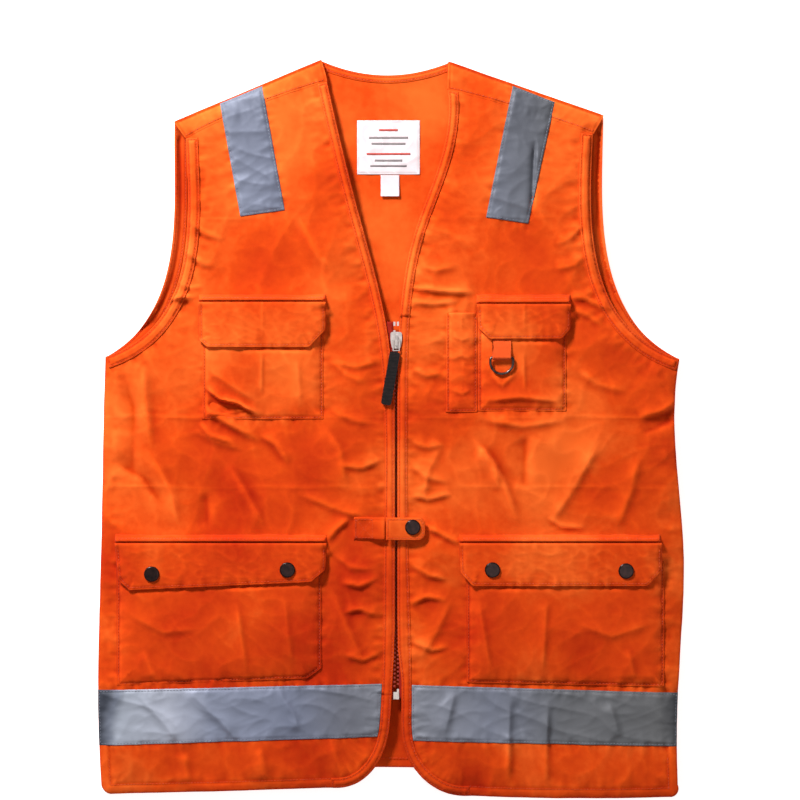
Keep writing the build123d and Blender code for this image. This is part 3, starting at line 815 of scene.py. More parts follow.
class Front:
    """The outlines and the height of one front, from which everything on it takes its shape."""

    def __init__(self, half):
        self.half = half
        self.sign = SIDES[half]
        self.facing = closed_up(outline_of(f"front_facing_{half}"))
        self.binding = outline_of(f"front_armhole_binding_{half}")
        self.yoke = outline_of(f"yoke_{half}")
        self.panel = closed_up(
            outline_of(f"front_panel_{half}", f"front_facing_{half}", f"front_armhole_binding_{half}")
        )
        edge = resample(self.panel, 3.0)
        at_facing = near(edge, self.facing, 0.4)
        at_binding = near(edge, self.binding, 0.4) & ~at_facing
        at_seam = near(edge, self.yoke, 1.2)
        self.opening = run_where(edge, at_facing & ~at_seam)
        self.armhole = run_where(edge, at_binding & ~at_seam)
        self.skirt = run_where(edge, ~at_facing & ~at_binding & ~at_seam)
        self.seam = run_where(edge, at_seam)
        ends = [self.yoke[self.yoke[:, 1].argmax()], self.yoke[(self.sign * self.yoke[:, 0]).argmax()]]
        self.shoulder = np.array(ends)
        pockets = ["chest_pocket", "lower_pocket"]
        self.pockets = [resample(outline_of(f"{name}_{half}"), 3.0) for name in pockets]
        if half == "left":
            self.pockets.append(resample(outline_of("pen_pocket"), 3.0))
        self.bands = [
            resample(outline_of(f"hem_tape_{half}"), 3.0),
            resample(outline_of(f"shoulder_tape_{half}"), 3.0),
        ]

    def level(self, p):
        """The height of the top of the front cloth."""
        x, y = p[:, 0], p[:, 1]
        seed = 3 if self.half == "right" else 41
        to_opening = nearest(p, self.opening)[0]
        to_armhole = nearest(p, self.armhole)[0]
        to_skirt = nearest(p, self.skirt)[0]
        to_shoulder = nearest(p, self.shoulder)[0]
        by_zip = np.exp(-to_opening / 16) * smooth(y, -320, -285) * (1 - smooth(y, 100, 150))
        free = np.minimum(np.minimum(to_armhole, to_skirt), to_opening)
        z = ZIP_LEVEL + SWELL * (1 - np.exp(-to_opening / 40))
        z = z - 3.4 * np.exp(-free / 13) * (1 - by_zip)
        z = z - 5.6 * np.exp(-to_shoulder / 7)
        quiet = 1 - 0.9 * np.exp(-((to_opening / 14) ** 2)) * smooth(y, -320, -285) * (y < 110)
        bumps = 0
        for pattern, high, size, slant, turn, step in RELIEF:
            bumps = bumps + high * pattern(x + slant * y, y + turn * x, size, seed + step)
        uneven = 1 + 0.3 * noise(x, y, 24, seed + 7)
        bumps = bumps + FOLD_GAIN * fold_relief(p, FOLDS[self.half]) * uneven
        for place, size in CREASES:
            wander = y - place - 1.6 * noise(x, x * 0, 70, seed + 5)
            strength = 0.5 + 0.5 * noise(x, x * 0 + place, 45, seed + 6)
            bumps = bumps + size * strength * np.exp(-np.abs(wander) / 1.6)
        z = z + bumps * quiet
        for line, (size, pitch, reach, step, offset) in (
            (self.opening, (1.6, 12, 10, 10, STRIP_WIDTH)),
            (self.armhole, (1.7, 12, 12, 12, BINDING_WIDTH)),
            (self.skirt, (1.2, 15, 10, 14, HEM_WIDTH)),
            (self.seam, (0.8, 12, 9, 16, 0.0)),
        ):
            z = z + puckers(p, line, size, pitch, reach, seed + step, offset)
        for k, loop in enumerate(self.pockets + self.bands):
            z = z + puckers(p, loop, 1.2, 12, 7, seed + 20 + 2 * k, closed=True)
        if self.half == "left":
            patch = np.exp(-(((x - 66) / 34) ** 2) - (((y - 66) / 60) ** 2))
            z = z + patch * (0.8 * noise(x, 2.2 * y, 22, 91) + 0.5 * ridged(x, 1.8 * y, 18, 92))
        return z

    def tape_level(self, p):
        """The stiff tape crinkles over the cloth that it is sewn to."""
        x, y = p[:, 0], p[:, 1]
        away = np.minimum(*[nearest(p, loop, closed=True)[0] for loop in self.bands])
        crinkle = 0.9 * ridged(0.5 * x + 1.1 * y, 0.6 * y - 0.25 * x, 30, 951)
        crinkle = crinkle + 0.25 * ridged(0.8 * x - 0.9 * y, y, 20, 952)
        return self.level(p) + crinkle * smooth(away, 0.5, 5)


def hem_depth(front, p):
    """Distance in from the bottom edge, or far for points higher up."""
    away = np.minimum(nearest(p, front.skirt)[0], nearest(p, front.opening)[0])
    return np.where(p[:, 1] < -300, away, 99.0)


FRONTS = {half: Front(half) for half in SIDES}


def bend_front(obj):
    """Bakes the object's placement into its mesh."""
    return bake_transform(obj)


def dress_front(piece, node):
    """Bakes a piece's placement into its mesh, in place of a CAD node, which is hidden."""
    bend_front(piece)
    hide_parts(node)


# ======================================================================================
# The back
# ======================================================================================
BACK_ARMHOLES = {}
for half in SIDES:
    hole = resample(outline_of(f"back_armhole_binding_{half}"), 3.0)
    whole = outline_of("back_panel", f"back_armhole_binding_{half}")
    BACK_ARMHOLES[half] = run_where(hole, near(hole, whole, 0.3))


def back_rim(p):
    """The bound edge of the back curls up where the front does not cover it."""
    curl = 0
    for half, front in FRONTS.items():
        away = nearest(p, BACK_ARMHOLES[half], reach=20)[0]
        clear = nearest(p, front.armhole, reach=30)[0]
        curl = curl + 5.5 * np.exp(-((away / 4.0) ** 2)) * smooth(np.minimum(clear, 20), 6, 10)
    return curl


def back_level(p):
    """The height of the inside of the back, which lies almost flat."""
    x, y = p[:, 0], p[:, 1]
    z = back_rim(p) + BACK_TOP + 0.25 * noise(x, y, 80, 201) + 0.15 * ridged(x + 0.4 * y, y, 36, 202)
    return z + 0.12 * noise(x, y, 12, 203)


def make_back():
    bindings = ["back_neck_binding", "back_armhole_binding_right", "back_armhole_binding_left"]
    outline = outline_of("back_panel", *bindings)
    flat, triangles = fill(outline, BACK_GRID, rings=(1.0,))
    away = nearest(flat, resample(outline, 3.0), closed=True)[0]
    hem = np.where(flat[:, 1] < -300, stitch_groove(away, HEM_WIDTH), 0)
    top = back_level(flat) - 0.5 * (1 - round_edge(away)) - 0.4 * hem
    top = np.maximum(top, 1.2)
    cloth = shell("back_cloth", flat, triangles, top, 0 * top + 0.95, CLOTH)
    dress(cloth, "back", "back_panel")

    lines = split_line(inset(resample(outline, 3.0), HEM_WIDTH), below_hem_line)
    for name in bindings:
        loop = outline_of(name)
        strip = band(f"{name}_cloth", loop, back_level, 0.05, BINDING, groove=STRIP_SEAM)
        dress(strip, "back", name)
        lines += closed_lines(inset(resample(loop, 2.5), STRIP_SEAM))
    thread = stitches("back_stitches", lines, lambda p: back_level(p) + STRIP_CLOTH - 0.35, THREAD)
    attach(thread, "back")

    for name in ("back_hem_tape", "back_shoulder_tapes"):
        level = 0.85 if name == "back_hem_tape" else 0.75
        for k, loop in enumerate(tape_loops(name)):
            flat, triangles = fill(loop, 2 * BACK_GRID)
            under = 0.09 + 0.04 * noise(flat[:, 0], flat[:, 1], 30, 5)
            tape = shell(f"{name}_{k}", flat, triangles, level + 0 * under, under, TAPE)
            dress(tape, "back", name)


def tape_loops(name):
    """The back's bands: one hem band, or the two that run up to the shoulders."""
    if name == "back_hem_tape":
        return [outline_of(name)]
    flat = flat_points(name)
    loops = []
    for sign in (-1, 1):
        part = flat[sign * flat[:, 0] > 0]
        middle = part.mean(0)
        corners = []
        for dx, dy in ((-1, -1), (1, -1), (1, 1), (-1, 1)):
            score = dx * (part[:, 0] - middle[0]) * 3 + dy * (part[:, 1] - middle[1])
            corners.append(part[score.argmax()])
        loops.append(np.array(corners))
    return loops


def closed_lines(points, reach=9.0):
    """A trimmed ring of points as unbroken polylines."""
    if len(points) < 4:
        return []
    ring = np.vstack([points, points[:1]])
    gaps = np.hypot(*np.diff(ring, axis=0).T)
    cuts = [0] + [i + 1 for i in range(len(gaps)) if gaps[i] > reach] + [len(ring)]
    return [ring[a:b] for a, b in zip(cuts[:-1], cuts[1:]) if b - a > 2]


def split_line(points, test):
    """The runs of a ring of points that pass a test."""
    lines = []
    good = test(points)
    current = []
    for point, fine in zip(points, good):
        if fine:
            current.append(point)
        elif current:
            lines.append(np.array(current))
            current = []
    if current:
        lines.append(np.array(current))
    return [line for line in lines if len(line) > 3]


def band(
    name,
    loop,
    level,
    lift,
    material,
    groove=STRIP_SEAM,
    thickness=STRIP_CLOTH,
    puff=0.45,
    grid=STRIP_GRID,
    gain=None,
):
    """A flat folded strip sewn down along both edges, following the cloth under it."""
    flat, triangles = fill(loop, grid, rings=(0.7, groove))
    away = nearest(flat, resample(loop, 2.0), closed=True)[0]
    under = level(flat) + lift
    body = thickness * round_edge(away, 0.9) - 0.65 * thickness * stitch_groove(away, groove, 0.9)
    body = body + puff * smooth(away, groove, groove + 3)
    body = body * gain(flat) if gain else body
    top = under + np.maximum(body, THINNEST)
    return shell(name, flat, triangles, top, under, material)


# ======================================================================================
# The fronts
# ======================================================================================
def clear_of_zip(p):
    """Strips are thicker where the slider doesn't run over them."""
    return 1 + 0.9 * smooth(p[:, 1], 100, 125) + 0.5 * (np.abs(p[:, 0]) > 150)


def make_front(front):
    half = front.half
    flat, triangles = fill(front.panel, PANEL_GRID, rings=(0.9,))
    level = front.level(flat)
    away = np.minimum(nearest(flat, front.skirt)[0], nearest(flat, front.armhole)[0])
    hem = hem_depth(front, flat)
    fold = 0.5 * (1 - smooth(hem, HEM_WIDTH - 1.5, HEM_WIDTH + 1.5))
    top = level + fold - 0.6 * stitch_groove(hem, HEM_WIDTH, 1.6)
    top = top - PANEL_CLOTH * 0.8 * (1 - round_edge(away, 1.5))
    cloth = shell(f"front_cloth_{half}", flat, triangles, top, level - PANEL_CLOTH, CLOTH)
    dress_front(cloth, f"front_panel_{half}")

    for kind, loop in (("front_facing", front.facing), ("front_armhole_binding", front.binding)):
        name = f"{kind}_{half}"
        strip = band(f"{name}_cloth", loop, front.level, 0.02, BINDING, gain=clear_of_zip)
        dress_front(strip, name)

    yoke = band(f"yoke_{half}_cloth", grown(front.yoke, 0.8), front.level, -0.35, CLOTH, 2.2, puff=0.1)
    dress_front(yoke, f"yoke_{half}")

    for name in (f"hem_tape_{half}", f"shoulder_tape_{half}"):
        outline = outline_of(name)
        tape = band(
            f"{name}_cloth", outline, front.tape_level, TAPE_LIFT, TAPE, TAPE_SEAM, TAPE_CLOTH, 0.05
        )
        dress_front(tape, name)

    lines = []
    for loop in (front.facing, front.binding):
        lines += closed_lines(inset(resample(loop, 2.0), STRIP_SEAM))
    thread = stitches(
        f"edge_stitches_{half}",
        lines,
        lambda p: front.level(p) + 0.35 * STRIP_CLOTH * clear_of_zip(p),
        THREAD,
    )
    bend_front(thread)
    lines = split_line(inset(resample(front.panel, 2.5), HEM_WIDTH), below_hem_line)
    seam = inset(resample(front.yoke, 2.0), 2.2)
    lines += split_line(seam, lambda p: nearest(p, front.seam)[0] < 6.0)
    thread = stitches(
        f"hem_stitches_{half}", lines, lambda p: front.level(p) - 0.12 + 0.4 * (p[:, 1] > 0), THREAD
    )
    bend_front(thread)
    lines = []
    for name in ("hem_tape", "shoulder_tape"):
        lines += closed_lines(inset(resample(outline_of(f"{name}_{half}"), 2.5), TAPE_SEAM))
    thread = stitches(
        f"tape_stitches_{half}",
        lines,
        lambda p: front.tape_level(p) + TAPE_LIFT + TAPE_CLOTH - 0.4,
        GREY_THREAD,
    )
    bend_front(thread)


def below_hem_line(p):
    return p[:, 1] < HEM_LINES_BELOW


def grown(loop, distance):
    """The outline moved outward."""
    edge = resample(loop, 3.0)
    ahead = np.roll(edge, -1, 0) - np.roll(edge, 1, 0)
    ahead = ahead / np.maximum(np.hypot(ahead[:, 0], ahead[:, 1]), 1e-9)[:, None]
    return edge - distance * np.column_stack([-ahead[:, 1], ahead[:, 0]])


def make_side_wall(front):
    """The fold of cloth that joins the front and back at the side and over the shoulder."""
    half = front.half
    skirt = front.skirt
    side = skirt[(skirt[:, 1] > -346) & (np.abs(skirt[:, 0]) > 240)]
    for name, line in ((f"side_seam_{half}", side), (f"shoulder_fold_{half}", front.shoulder)):
        line = resample(line, 3.0, closed=False, turn=180)
        line = line[np.argsort(line[:, 1])]
        top = front.level(line) - 0.3
        ahead = np.gradient(line, axis=0)
        ahead = ahead / np.hypot(ahead[:, 0], ahead[:, 1])[:, None]
        out = np.column_stack([ahead[:, 1], -ahead[:, 0]])
        out = out * np.sign((line * out).sum(1))[:, None]  # away from the vest's middle
        if "shoulder" in name:
            top = top + 0.2
        sections = []
        for point, way, high, step in zip(line, out, top, range(len(line))):
            bulge = 1.1 + 0.12 * math.sin(step * 0.37)
            ring = []
            for turn in np.linspace(-90, 90, 9):
                reach = bulge * math.cos(math.radians(turn)) - 0.8
                height = (high + 1.0) / 2 + (high - 1.0) / 2 * math.sin(math.radians(turn))
                ring.append((*(point + way * reach), height))
            for turn in np.linspace(90, -90, 9):
                reach = 0.6 * bulge * math.cos(math.radians(turn)) - 1.9
                height = (high + 1.0) / 2 + 0.8 * (high - 1.0) / 2 * math.sin(math.radians(turn))
                ring.append((*(point + way * reach), height))
            sections.append(np.array(ring))
        wall = swept(f"{name}_cloth", sections, CLOTH)
        fix_normals(wall)
        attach(wall, "back")
        if "side" in name:
            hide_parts(name)


def fix_normals(obj):
    """Turns a closed mesh's faces to point outward."""
    work = bmesh.new()
    work.from_mesh(obj.data)
    bmesh.ops.recalc_face_normals(work, faces=work.faces)
    work.to_mesh(obj.data)
    work.free()


# ======================================================================================
# Pockets, flaps and their seams
# ======================================================================================
# The pocket's height at its bottom and at its mouth, and its seed.
POCKET_SHAPES = {
    "chest_pocket_right": (3.1, 4.9, 301),
    "chest_pocket_left": (3.1, 4.9, 311),
    "lower_pocket_right": (3.3, 4.9, 321),
    "lower_pocket_left": (3.3, 4.9, 331),
    "pen_pocket": (2.2, 3.2, 341),
}
POCKET_FOLDS = {
    "chest_pocket_right": [
        ([(-188, 48), (-166, 29), (-148, 25), (-120, 8)], 1.9, 4.2),
        ([(-188, 30), (-164, 17), (-136, 7)], 4.0, -4.0),
        ([(-186, 12), (-160, 15), (-136, 19)], 1.5, 1.5),
        ([(-180, 60), (-150, 40), (-128, 26)], 4.5, 1.4),
        ([(-125, 78), (-126, 30)], 2.2, 0.8),
        ([(-92, 70), (-88, 20)], 4.0, 0.9),
    ],
    "chest_pocket_left": [
        ([(88, 27), (126, 31), (168, 26)], 3.6, 1.9),
        ([(96, 56), (107, 42), (122, 56)], 3.2, 1.2),
        ([(128, 74), (129, 34)], 2.2, 0.7),
    ],
    "lower_pocket_right": [
        ([(-258, -176), (-220, -196), (-180, -192)], 5.0, 1.1),
        ([(-150, -166), (-140, -236)], 4.0, 1.2),
        ([(-104, -160), (-96, -232)], 4.0, 0.9),
        ([(-240, -214), (-228, -244)], 4.5, 1.1),
    ],
    "lower_pocket_left": [
        ([(84, -164), (96, -236)], 4.0, 1.1),
        ([(150, -162), (146, -240)], 4.0, 1.2),
        ([(176, -186), (214, -200), (256, -186)], 5.0, 1.2),
        ([(228, -212), (236, -244)], 4.5, 1.0),
    ],
    "pen_pocket": [
        ([(56, 92), (70, 86), (82, 92)], 2.4, 0.8),
        ([(55, 66), (68, 72), (82, 64)], 2.4, 0.8),
        ([(55, 40), (70, 34), (82, 42)], 2.6, 0.9),
    ],
}


POCKET_GROUND = 12.0  # the mean height of the cloth under the pockets


def half_of(name):
    return "right" if name.endswith("right") else "left"


def pocket_surface(name):
    """The height of a pocket's cloth, its outline, and its sewn edge."""
    front = FRONTS[half_of(name)]
    loop = outline_of(name)
    mouth = loop[:, 1].max()
    edge = resample(loop, 2.5)
    sewn = run_where(edge, edge[:, 1] < mouth - 1.0)
    low_puff, high_puff, seed = POCKET_SHAPES[name]
    bottom = loop[:, 1].min()
    cover, cover_height = None, None
    if name != "pen_pocket":
        flap = name.replace("pocket", "flap")
        cover, cover_height = outline_of(flap), flap_surface(flap)

    def height(p):
        away, along, _ = nearest(p, sewn)
        t = (p[:, 1] - bottom) / (mouth - bottom)
        full = low_puff + (high_puff - low_puff) * smooth(t, 0.1, 0.9)
        puff = full * (1 - np.exp(-np.maximum(away - POCKET_SEAM, 0) / 7.5))
        own = 1.3 * fold_relief(p, POCKET_FOLDS[name]) + 0.6 * noise(p[:, 0], p[:, 1], 44, seed)
        own = own + 0.3 * ridged(p[:, 0] + 0.4 * p[:, 1], p[:, 1], 30, seed + 1)
        gather = 1.0 * noise(along, 0.3 * away, 10, seed + 3) * np.exp(-np.maximum(away - 3, 0) / 8)
        gather = gather * smooth(away, 1.0, 4.0)
        own = own * smooth(away, 2, 12) + gather
        ground = 0.65 * front.level(p) + 0.35 * POCKET_GROUND  # a pocket bridges the folds under it
        z = ground + 1.3 + puff + own
        if cover is None:
            return z
        hidden = smooth(depth(p, cover), -5, -1)
        ceiling = cover_height(p) - FLAP_CLOTH - 1.6
        return np.where(z > ceiling, ceiling * hidden + z * (1 - hidden), z)

    return front, loop, sewn, height


def snap_places(name):
    """The middles of the caps of a node, in mm."""
    flat = flat_points(name)
    if np.ptp(flat[:, 0]) < 20:
        return [(flat.min(0) + flat.max(0)) / 2]
    middle = (flat[:, 0].min() + flat[:, 0].max()) / 2
    parts = [flat[flat[:, 0] < middle], flat[flat[:, 0] > middle]]
    return [(part.min(0) + part.max(0)) / 2 for part in parts]


def pinned(p, z, places, level, reach=11.0):
    """Pulls a surface to a level around each snap."""
    for place in places:
        away = np.hypot(p[:, 0] - place[0], p[:, 1] - place[1])
        weight = np.exp(-((np.maximum(away - 5, 0) / reach) ** 2))
        z = z * (1 - weight) + level * weight
    return z


def make_pocket(name):
    front, loop, sewn, surface = pocket_surface(name)
    half = front.half
    flat, triangles = fill(loop, POCKET_GRID, rings=(0.8, POCKET_SEAM))
    away = nearest(flat, sewn)[0]
    to_edge = nearest(flat, resample(loop, 2.5), closed=True)[0]
    top = surface(flat)
    if name.startswith("lower"):
        studs = f"pocket_snap_studs_{half}"
        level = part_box(studs)[0].z / MM
        top = pinned(flat, top, snap_places(studs), level)
    top = top - 0.8 * stitch_groove(away, POCKET_SEAM, 1.0) - 0.9 * (1 - round_edge(to_edge, 1.2))
    bottom = np.minimum(top - 0.3, surface(flat) - POCKET_CLOTH)
    cloth = shell(f"{name}_cloth", flat, triangles, top, bottom, POCKET)
    dress(cloth, f"front_{half}", name)
    ring = resample(loop, 2.0)
    mouth = loop[:, 1].max()
    lines = split_line(inset(ring, POCKET_SEAM), lambda p: p[:, 1] < mouth - 3.5)
    thread = stitches(f"{name}_stitches", lines, lambda p: surface(p) - 0.5, THREAD)
    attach(thread, f"front_{half}")


# The flap's seed, and the height of its waves.
FLAP_WAVES = {
    "chest_flap_right": (401, 0.9),
    "chest_flap_left": (411, 0.6),
    "lower_flap_right": (421, 0.9),
    "lower_flap_left": (431, 0.9),
}


def flap_surface(name):
    """The height of the top of a flap."""
    seed, wave = FLAP_WAVES[name]
    loop = outline_of(name)
    low, high = loop.min(0), loop.max(0)
    hinge, reach = high[1], high[1] - low[1]
    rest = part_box(name)[1].z / MM
    caps = snap_places(f"pocket_snap_caps_{half_of(name)}") if name.startswith("lower") else []
    edge = resample(loop, 2.0)
    free = run_where(edge, edge[:, 1] < hinge - 1.0)

    def surface(p):
        x, y = p[:, 0], p[:, 1]
        down = (hinge - y) / reach
        away, along, _ = nearest(p, free)
        to_side = np.minimum(x - low[0], high[0] - x)
        z = rest - 0.5 * down**2 + wave * noise(x, 0.35 * y, 34, seed) * (0.25 + down) * 0.8
        crinkle = 0.4 * ridged(x + 0.5 * y, 0.9 * y, 21, seed + 1) - 0.1
        fine = 0.35 * ridged(0.5 * x, 1.2 * y, 9, seed + 7)
        crinkle = crinkle + fine * (0.6 + 0.4 * noise(x, y, 26, seed + 8))
        z = z + crinkle * smooth(hinge - y, 1, 9)  # flat where it folds up against its seam
        z = z + 0.1 * noise(x, y, 8, seed + 2)
        pucker = 0.9 * noise(along, 0.35 * away, 8, seed + 3) * np.exp(-np.maximum(away - 2.5, 0) / 8)
        z = z + pucker * smooth(hinge - y, 1, 6)
        z = z + 0.6 * noise(x, 0.3 * (hinge - y), 8, seed + 5) * np.exp(-(hinge - y) / 9)
        z = z - 3.6 * np.exp(-to_side / 5) * smooth(y, hinge, hinge - 10)
        if name.startswith("chest"):
            middle = (low[0] + high[0]) / 2
            z = z + 1.0 * np.exp(-np.abs(x - middle) / 2.0) * smooth(y, low[1], hinge - 8)
        return pinned(p, z, caps, rest, 7.0)

    return surface


def make_flap(name):
    """A double flap that hangs from its seam over the pocket's mouth."""
    surface = flap_surface(name)
    loop = outline_of(name)
    hinge = loop[:, 1].max()
    edge = resample(loop, 2.0)
    free = run_where(edge, edge[:, 1] < hinge - 1.0)
    flat, triangles = fill(loop, POCKET_GRID, rings=(0.8, FLAP_SEAM))
    away = nearest(flat, free)[0]
    to_edge = nearest(flat, edge, closed=True)[0]
    z = surface(flat)
    top = z - 0.6 * stitch_groove(away, FLAP_SEAM, 1.1) - 0.6 * (1 - round_edge(to_edge, 1.3))
    bottom = np.minimum(z - FLAP_CLOTH + 0.4 * (1 - round_edge(to_edge, 1.3)), top - 0.15)
    cloth = shell(f"{name}_cloth", flat, triangles, top, bottom, POCKET)
    dress(cloth, name, name)
    lines = split_line(inset(edge, FLAP_SEAM), lambda p: p[:, 1] < hinge - 4)
    thread = stitches(f"{name}_stitches", lines, lambda p: surface(p) - 0.48, THREAD)
    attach(thread, name)


SEAM_FOOT = 2.0  # how far the ridge's outer edge reaches past its CAD solid


def make_flap_seam(name):
    """The soft ridge that the flap is sewn into, higher at the flap and flat beyond."""
    half = half_of(name)
    front = FRONTS[half]
    low, high = box_mm(name)
    stations = np.arange(low[0] - 0.3, high[0] + 0.4, 1.6 * COARSE)
    seed = int(500 + abs(low[0]))
    turning, back = low[1], high[1]
    wander = 0.9 * noise(stations, 0 * stations, 26, seed) + 0.4 * noise(stations, 0 * stations, 9, seed)
    foot = np.column_stack([stations, back + SEAM_FOOT + wander])
    ground = front.level(foot)
    inner = np.column_stack([stations, np.full(len(stations), turning + 1.0)])
    under = front.level(inner)
    gather = 0.5 * noise(stations, 0 * stations, 7, seed + 1)
    sections = []
    for k, x in enumerate(stations):
        end = min(x - stations[0], stations[-1] - x)
        rise = float(round_edge(np.array([end]), 3.0)[0])
        crest = ground[k] + (high[2] + 0.1 - ground[k]) * (0.15 + 0.85 * rise)
        crest = crest + 0.15 * wander[k]
        y = back + SEAM_FOOT + wander[k]
        ring = [
            (x, y, ground[k] - 0.1),
            (x, y - 1.3, ground[k] + 0.5),
            (x, y - 2.2 - 0.3 * wander[k], ground[k] + 0.4 * (crest - ground[k])),
            (x, y - 3.4, ground[k] + 0.62 * (crest - ground[k]) + gather[k]),
            (x, turning + 2.9, ground[k] + 0.86 * (crest - ground[k]) + 0.5 * gather[k]),
            (x, turning + 1.6, crest),
            (x, turning + 0.6, crest - 0.25),
            (x, turning + 0.1, crest - 1.2),
            (x, turning + 0.5, crest - 3.0),
            (x, turning + 0.6, under[k] + 0.2),
        ]
        sections.append(np.array(ring))
    ridge = swept(f"{name}_cloth", sections, POCKET)
    fix_normals(ridge)
    dress(ridge, f"front_{half}", name)
    rows = [np.array([ring[row] for ring in sections[2:-2]]) for row in (3, 4)]
    upper, lower = rows

    def seam_top(p):
        """The ridge's height under its upper or lower row of stitches."""
        high_row = np.interp(p[:, 0], upper[:, 0], upper[:, 2])
        low_row = np.interp(p[:, 0], lower[:, 0], lower[:, 2])
        between = (np.interp(p[:, 0], upper[:, 0], upper[:, 1]) + turning + 2.9) / 2
        return np.where(p[:, 1] > between, high_row, low_row) + 0.02

    thread = stitches(f"{name}_stitches", [row[:, :2] for row in rows], seam_top, THREAD)
    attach(thread, f"front_{half}")


def make_strips(half):
    """Hook strip under the chest flap and loop strip on the pocket."""
    for name, body in (
        (f"hook_strip_{half}", f"chest_flap_{half}"),
        (f"loop_strip_{half}", f"front_{half}"),
    ):
        loop = outline_of(name)
        flat, triangles = fill(loop, STRIP_GRID, rings=(0.7,))
        pile = 0.12 * noise(flat[:, 0], flat[:, 1], 2.2, 611)
        if "loop" in name:
            under = pocket_surface(f"chest_pocket_{half}")[3](flat)
            top_z = under + 0.55 + pile
        else:
            top_z = flap_surface(f"chest_flap_{half}")(flat) - FLAP_CLOTH - 0.05
            under = top_z - 0.55 + pile
        strip = shell(f"{name}_cloth", flat, triangles, top_z, under, HOOK_LOOP)
        dress(strip, body, name)


# ======================================================================================
# Tab, ring loop, labels
# ======================================================================================
def make_tab():
    base_low, base_high = box_mm("waist_tab_base")
    tab_low, tab_high = box_mm("waist_tab")
    front = FRONTS["right"]
    y0, y1 = tab_low[1], tab_high[1]

    def base_surface(p):
        """The base lies on the front, then rises to the tab."""
        run = (p[:, 0] - base_low[0]) / (base_high[0] - base_low[0])
        rise = smooth(run, 0.35, 1.05)
        z = (front.level(p) + 1.3) * (1 - rise) + (tab_low[2] + 0.3) * rise
        return z + 0.3 * noise(p[:, 0], p[:, 1], 9, 701)

    stations = np.arange(base_low[0], base_high[0] + 0.01, 1.5)
    widths = np.linspace(0, 1, 13)
    flat = np.array([(x, y0 + t * (y1 - y0)) for x in stations for t in widths])
    level = front.level(flat)
    run = (flat[:, 0] - base_low[0]) / (base_high[0] - base_low[0])
    away = np.minimum(flat[:, 1] - y0, y1 - flat[:, 1])
    top = base_surface(flat)
    top = top - 0.5 * stitch_groove(away, 2.0, 1.0) - 0.5 * (1 - round_edge(away, 1.2))
    top = top - 0.5 * stitch_groove(flat[:, 0] - base_low[0], 2.0, 1.0)
    rows, columns = len(stations), len(widths)
    triangles = []
    for i in range(rows - 1):
        for k in range(columns - 1):
            a = i * columns + k
            b, c, d = a + 1, a + columns, a + columns + 1
            triangles += [(a, c, d), (a, d, b)]
    bottom = np.maximum(top - 1.4, 0)
    bottom = np.where(run < 0.3, level + 0.02, bottom)
    base = shell("waist_tab_base_cloth", flat, np.array(triangles), top, bottom, POCKET)
    dress(base, "front_right", "waist_tab_base")

    loop = outline_of("waist_tab")
    cap = snap_places("waist_snap_cap")

    def surface(p):
        z = tab_high[2] + 0.35 * noise(p[:, 0], p[:, 1], 14, 711)
        z = z - 0.6 * smooth(p[:, 0], cap[0][0] + 6, tab_high[0])
        return pinned(p, z, cap, tab_high[2], 6.0)

    flat, triangles = fill(loop, STRIP_GRID, rings=(0.7, 2.0))
    away = nearest(flat, resample(loop, 1.5), closed=True)[0]
    z = surface(flat)
    top = z - 0.45 * stitch_groove(away, 2.0, 0.9) - 0.5 * (1 - round_edge(away, 1.2))
    bottom = np.minimum(z - 1.15 + 0.3 * (1 - round_edge(away, 1.2)), top - 0.15)
    tab = shell("waist_tab_cloth", flat, triangles, top, bottom, POCKET)
    dress(tab, "waist_tab", "waist_tab")
    lines = closed_lines(inset(resample(loop, 1.5), 2.0))
    thread = stitches("waist_tab_stitches", lines, lambda p: surface(p) - 0.35, THREAD)
    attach(thread, "waist_tab")
    box_x = (base_low[0] + 2, base_low[0] + 18)
    box_y = (y0 + 2.2, y1 - 2.2)
    corners = [(x, y) for x in box_x for y in box_y]
    lines = [np.array([corners[0], corners[1], corners[3], corners[2], corners[0]], float)]
    lines += [np.array([corners[0], corners[3]], float), np.array([corners[1], corners[2]], float)]
    thread = stitches("waist_tab_base_stitches", lines, lambda p: base_surface(p) - 0.2, THREAD)
    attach(thread, "front_right")


def make_ring_loop():
    """Webbing folded round the ring's straight bar and sewn to the pocket."""
    low, high = box_mm("d_ring_loop")
    radius = (high[2] - low[2]) / 2
    axis_y, axis_z = low[1] + radius, (low[2] + high[2]) / 2
    surface = pocket_surface("chest_pocket_left")[3]
    stations = np.linspace(low[0], high[0], 15)
    sections = []
    for k, x in enumerate(stations):
        slack = 0.15 * math.sin(1.9 * k)
        outer, inner = [], []
        for turn in np.linspace(70, 290, 15):
            c, s = math.cos(math.radians(turn)), math.sin(math.radians(turn))
            outer.append((x, axis_y + (radius + slack) * c, axis_z + (radius + 0.5 * slack) * s))
            inner.append((x, axis_y + (radius - 0.8) * c, axis_z + (radius - 0.8) * s))
        far = high[1]
        ground = surface(np.array([[x, far], [x, axis_y + 5.0]]))
        top = [(x, far, ground[0] + 0.9), (x, axis_y + 9.0, ground[1] + 1.1)]
        below = [(x, axis_y + 4.0, ground[1] + 0.2), (x, far, ground[0] + 0.1)]
        sections.append(np.array(top + outer + below))
    loop = swept("d_ring_loop_cloth", sections, WEBBING)
    fix_normals(loop)
    dress(loop, "front_left", "d_ring_loop")


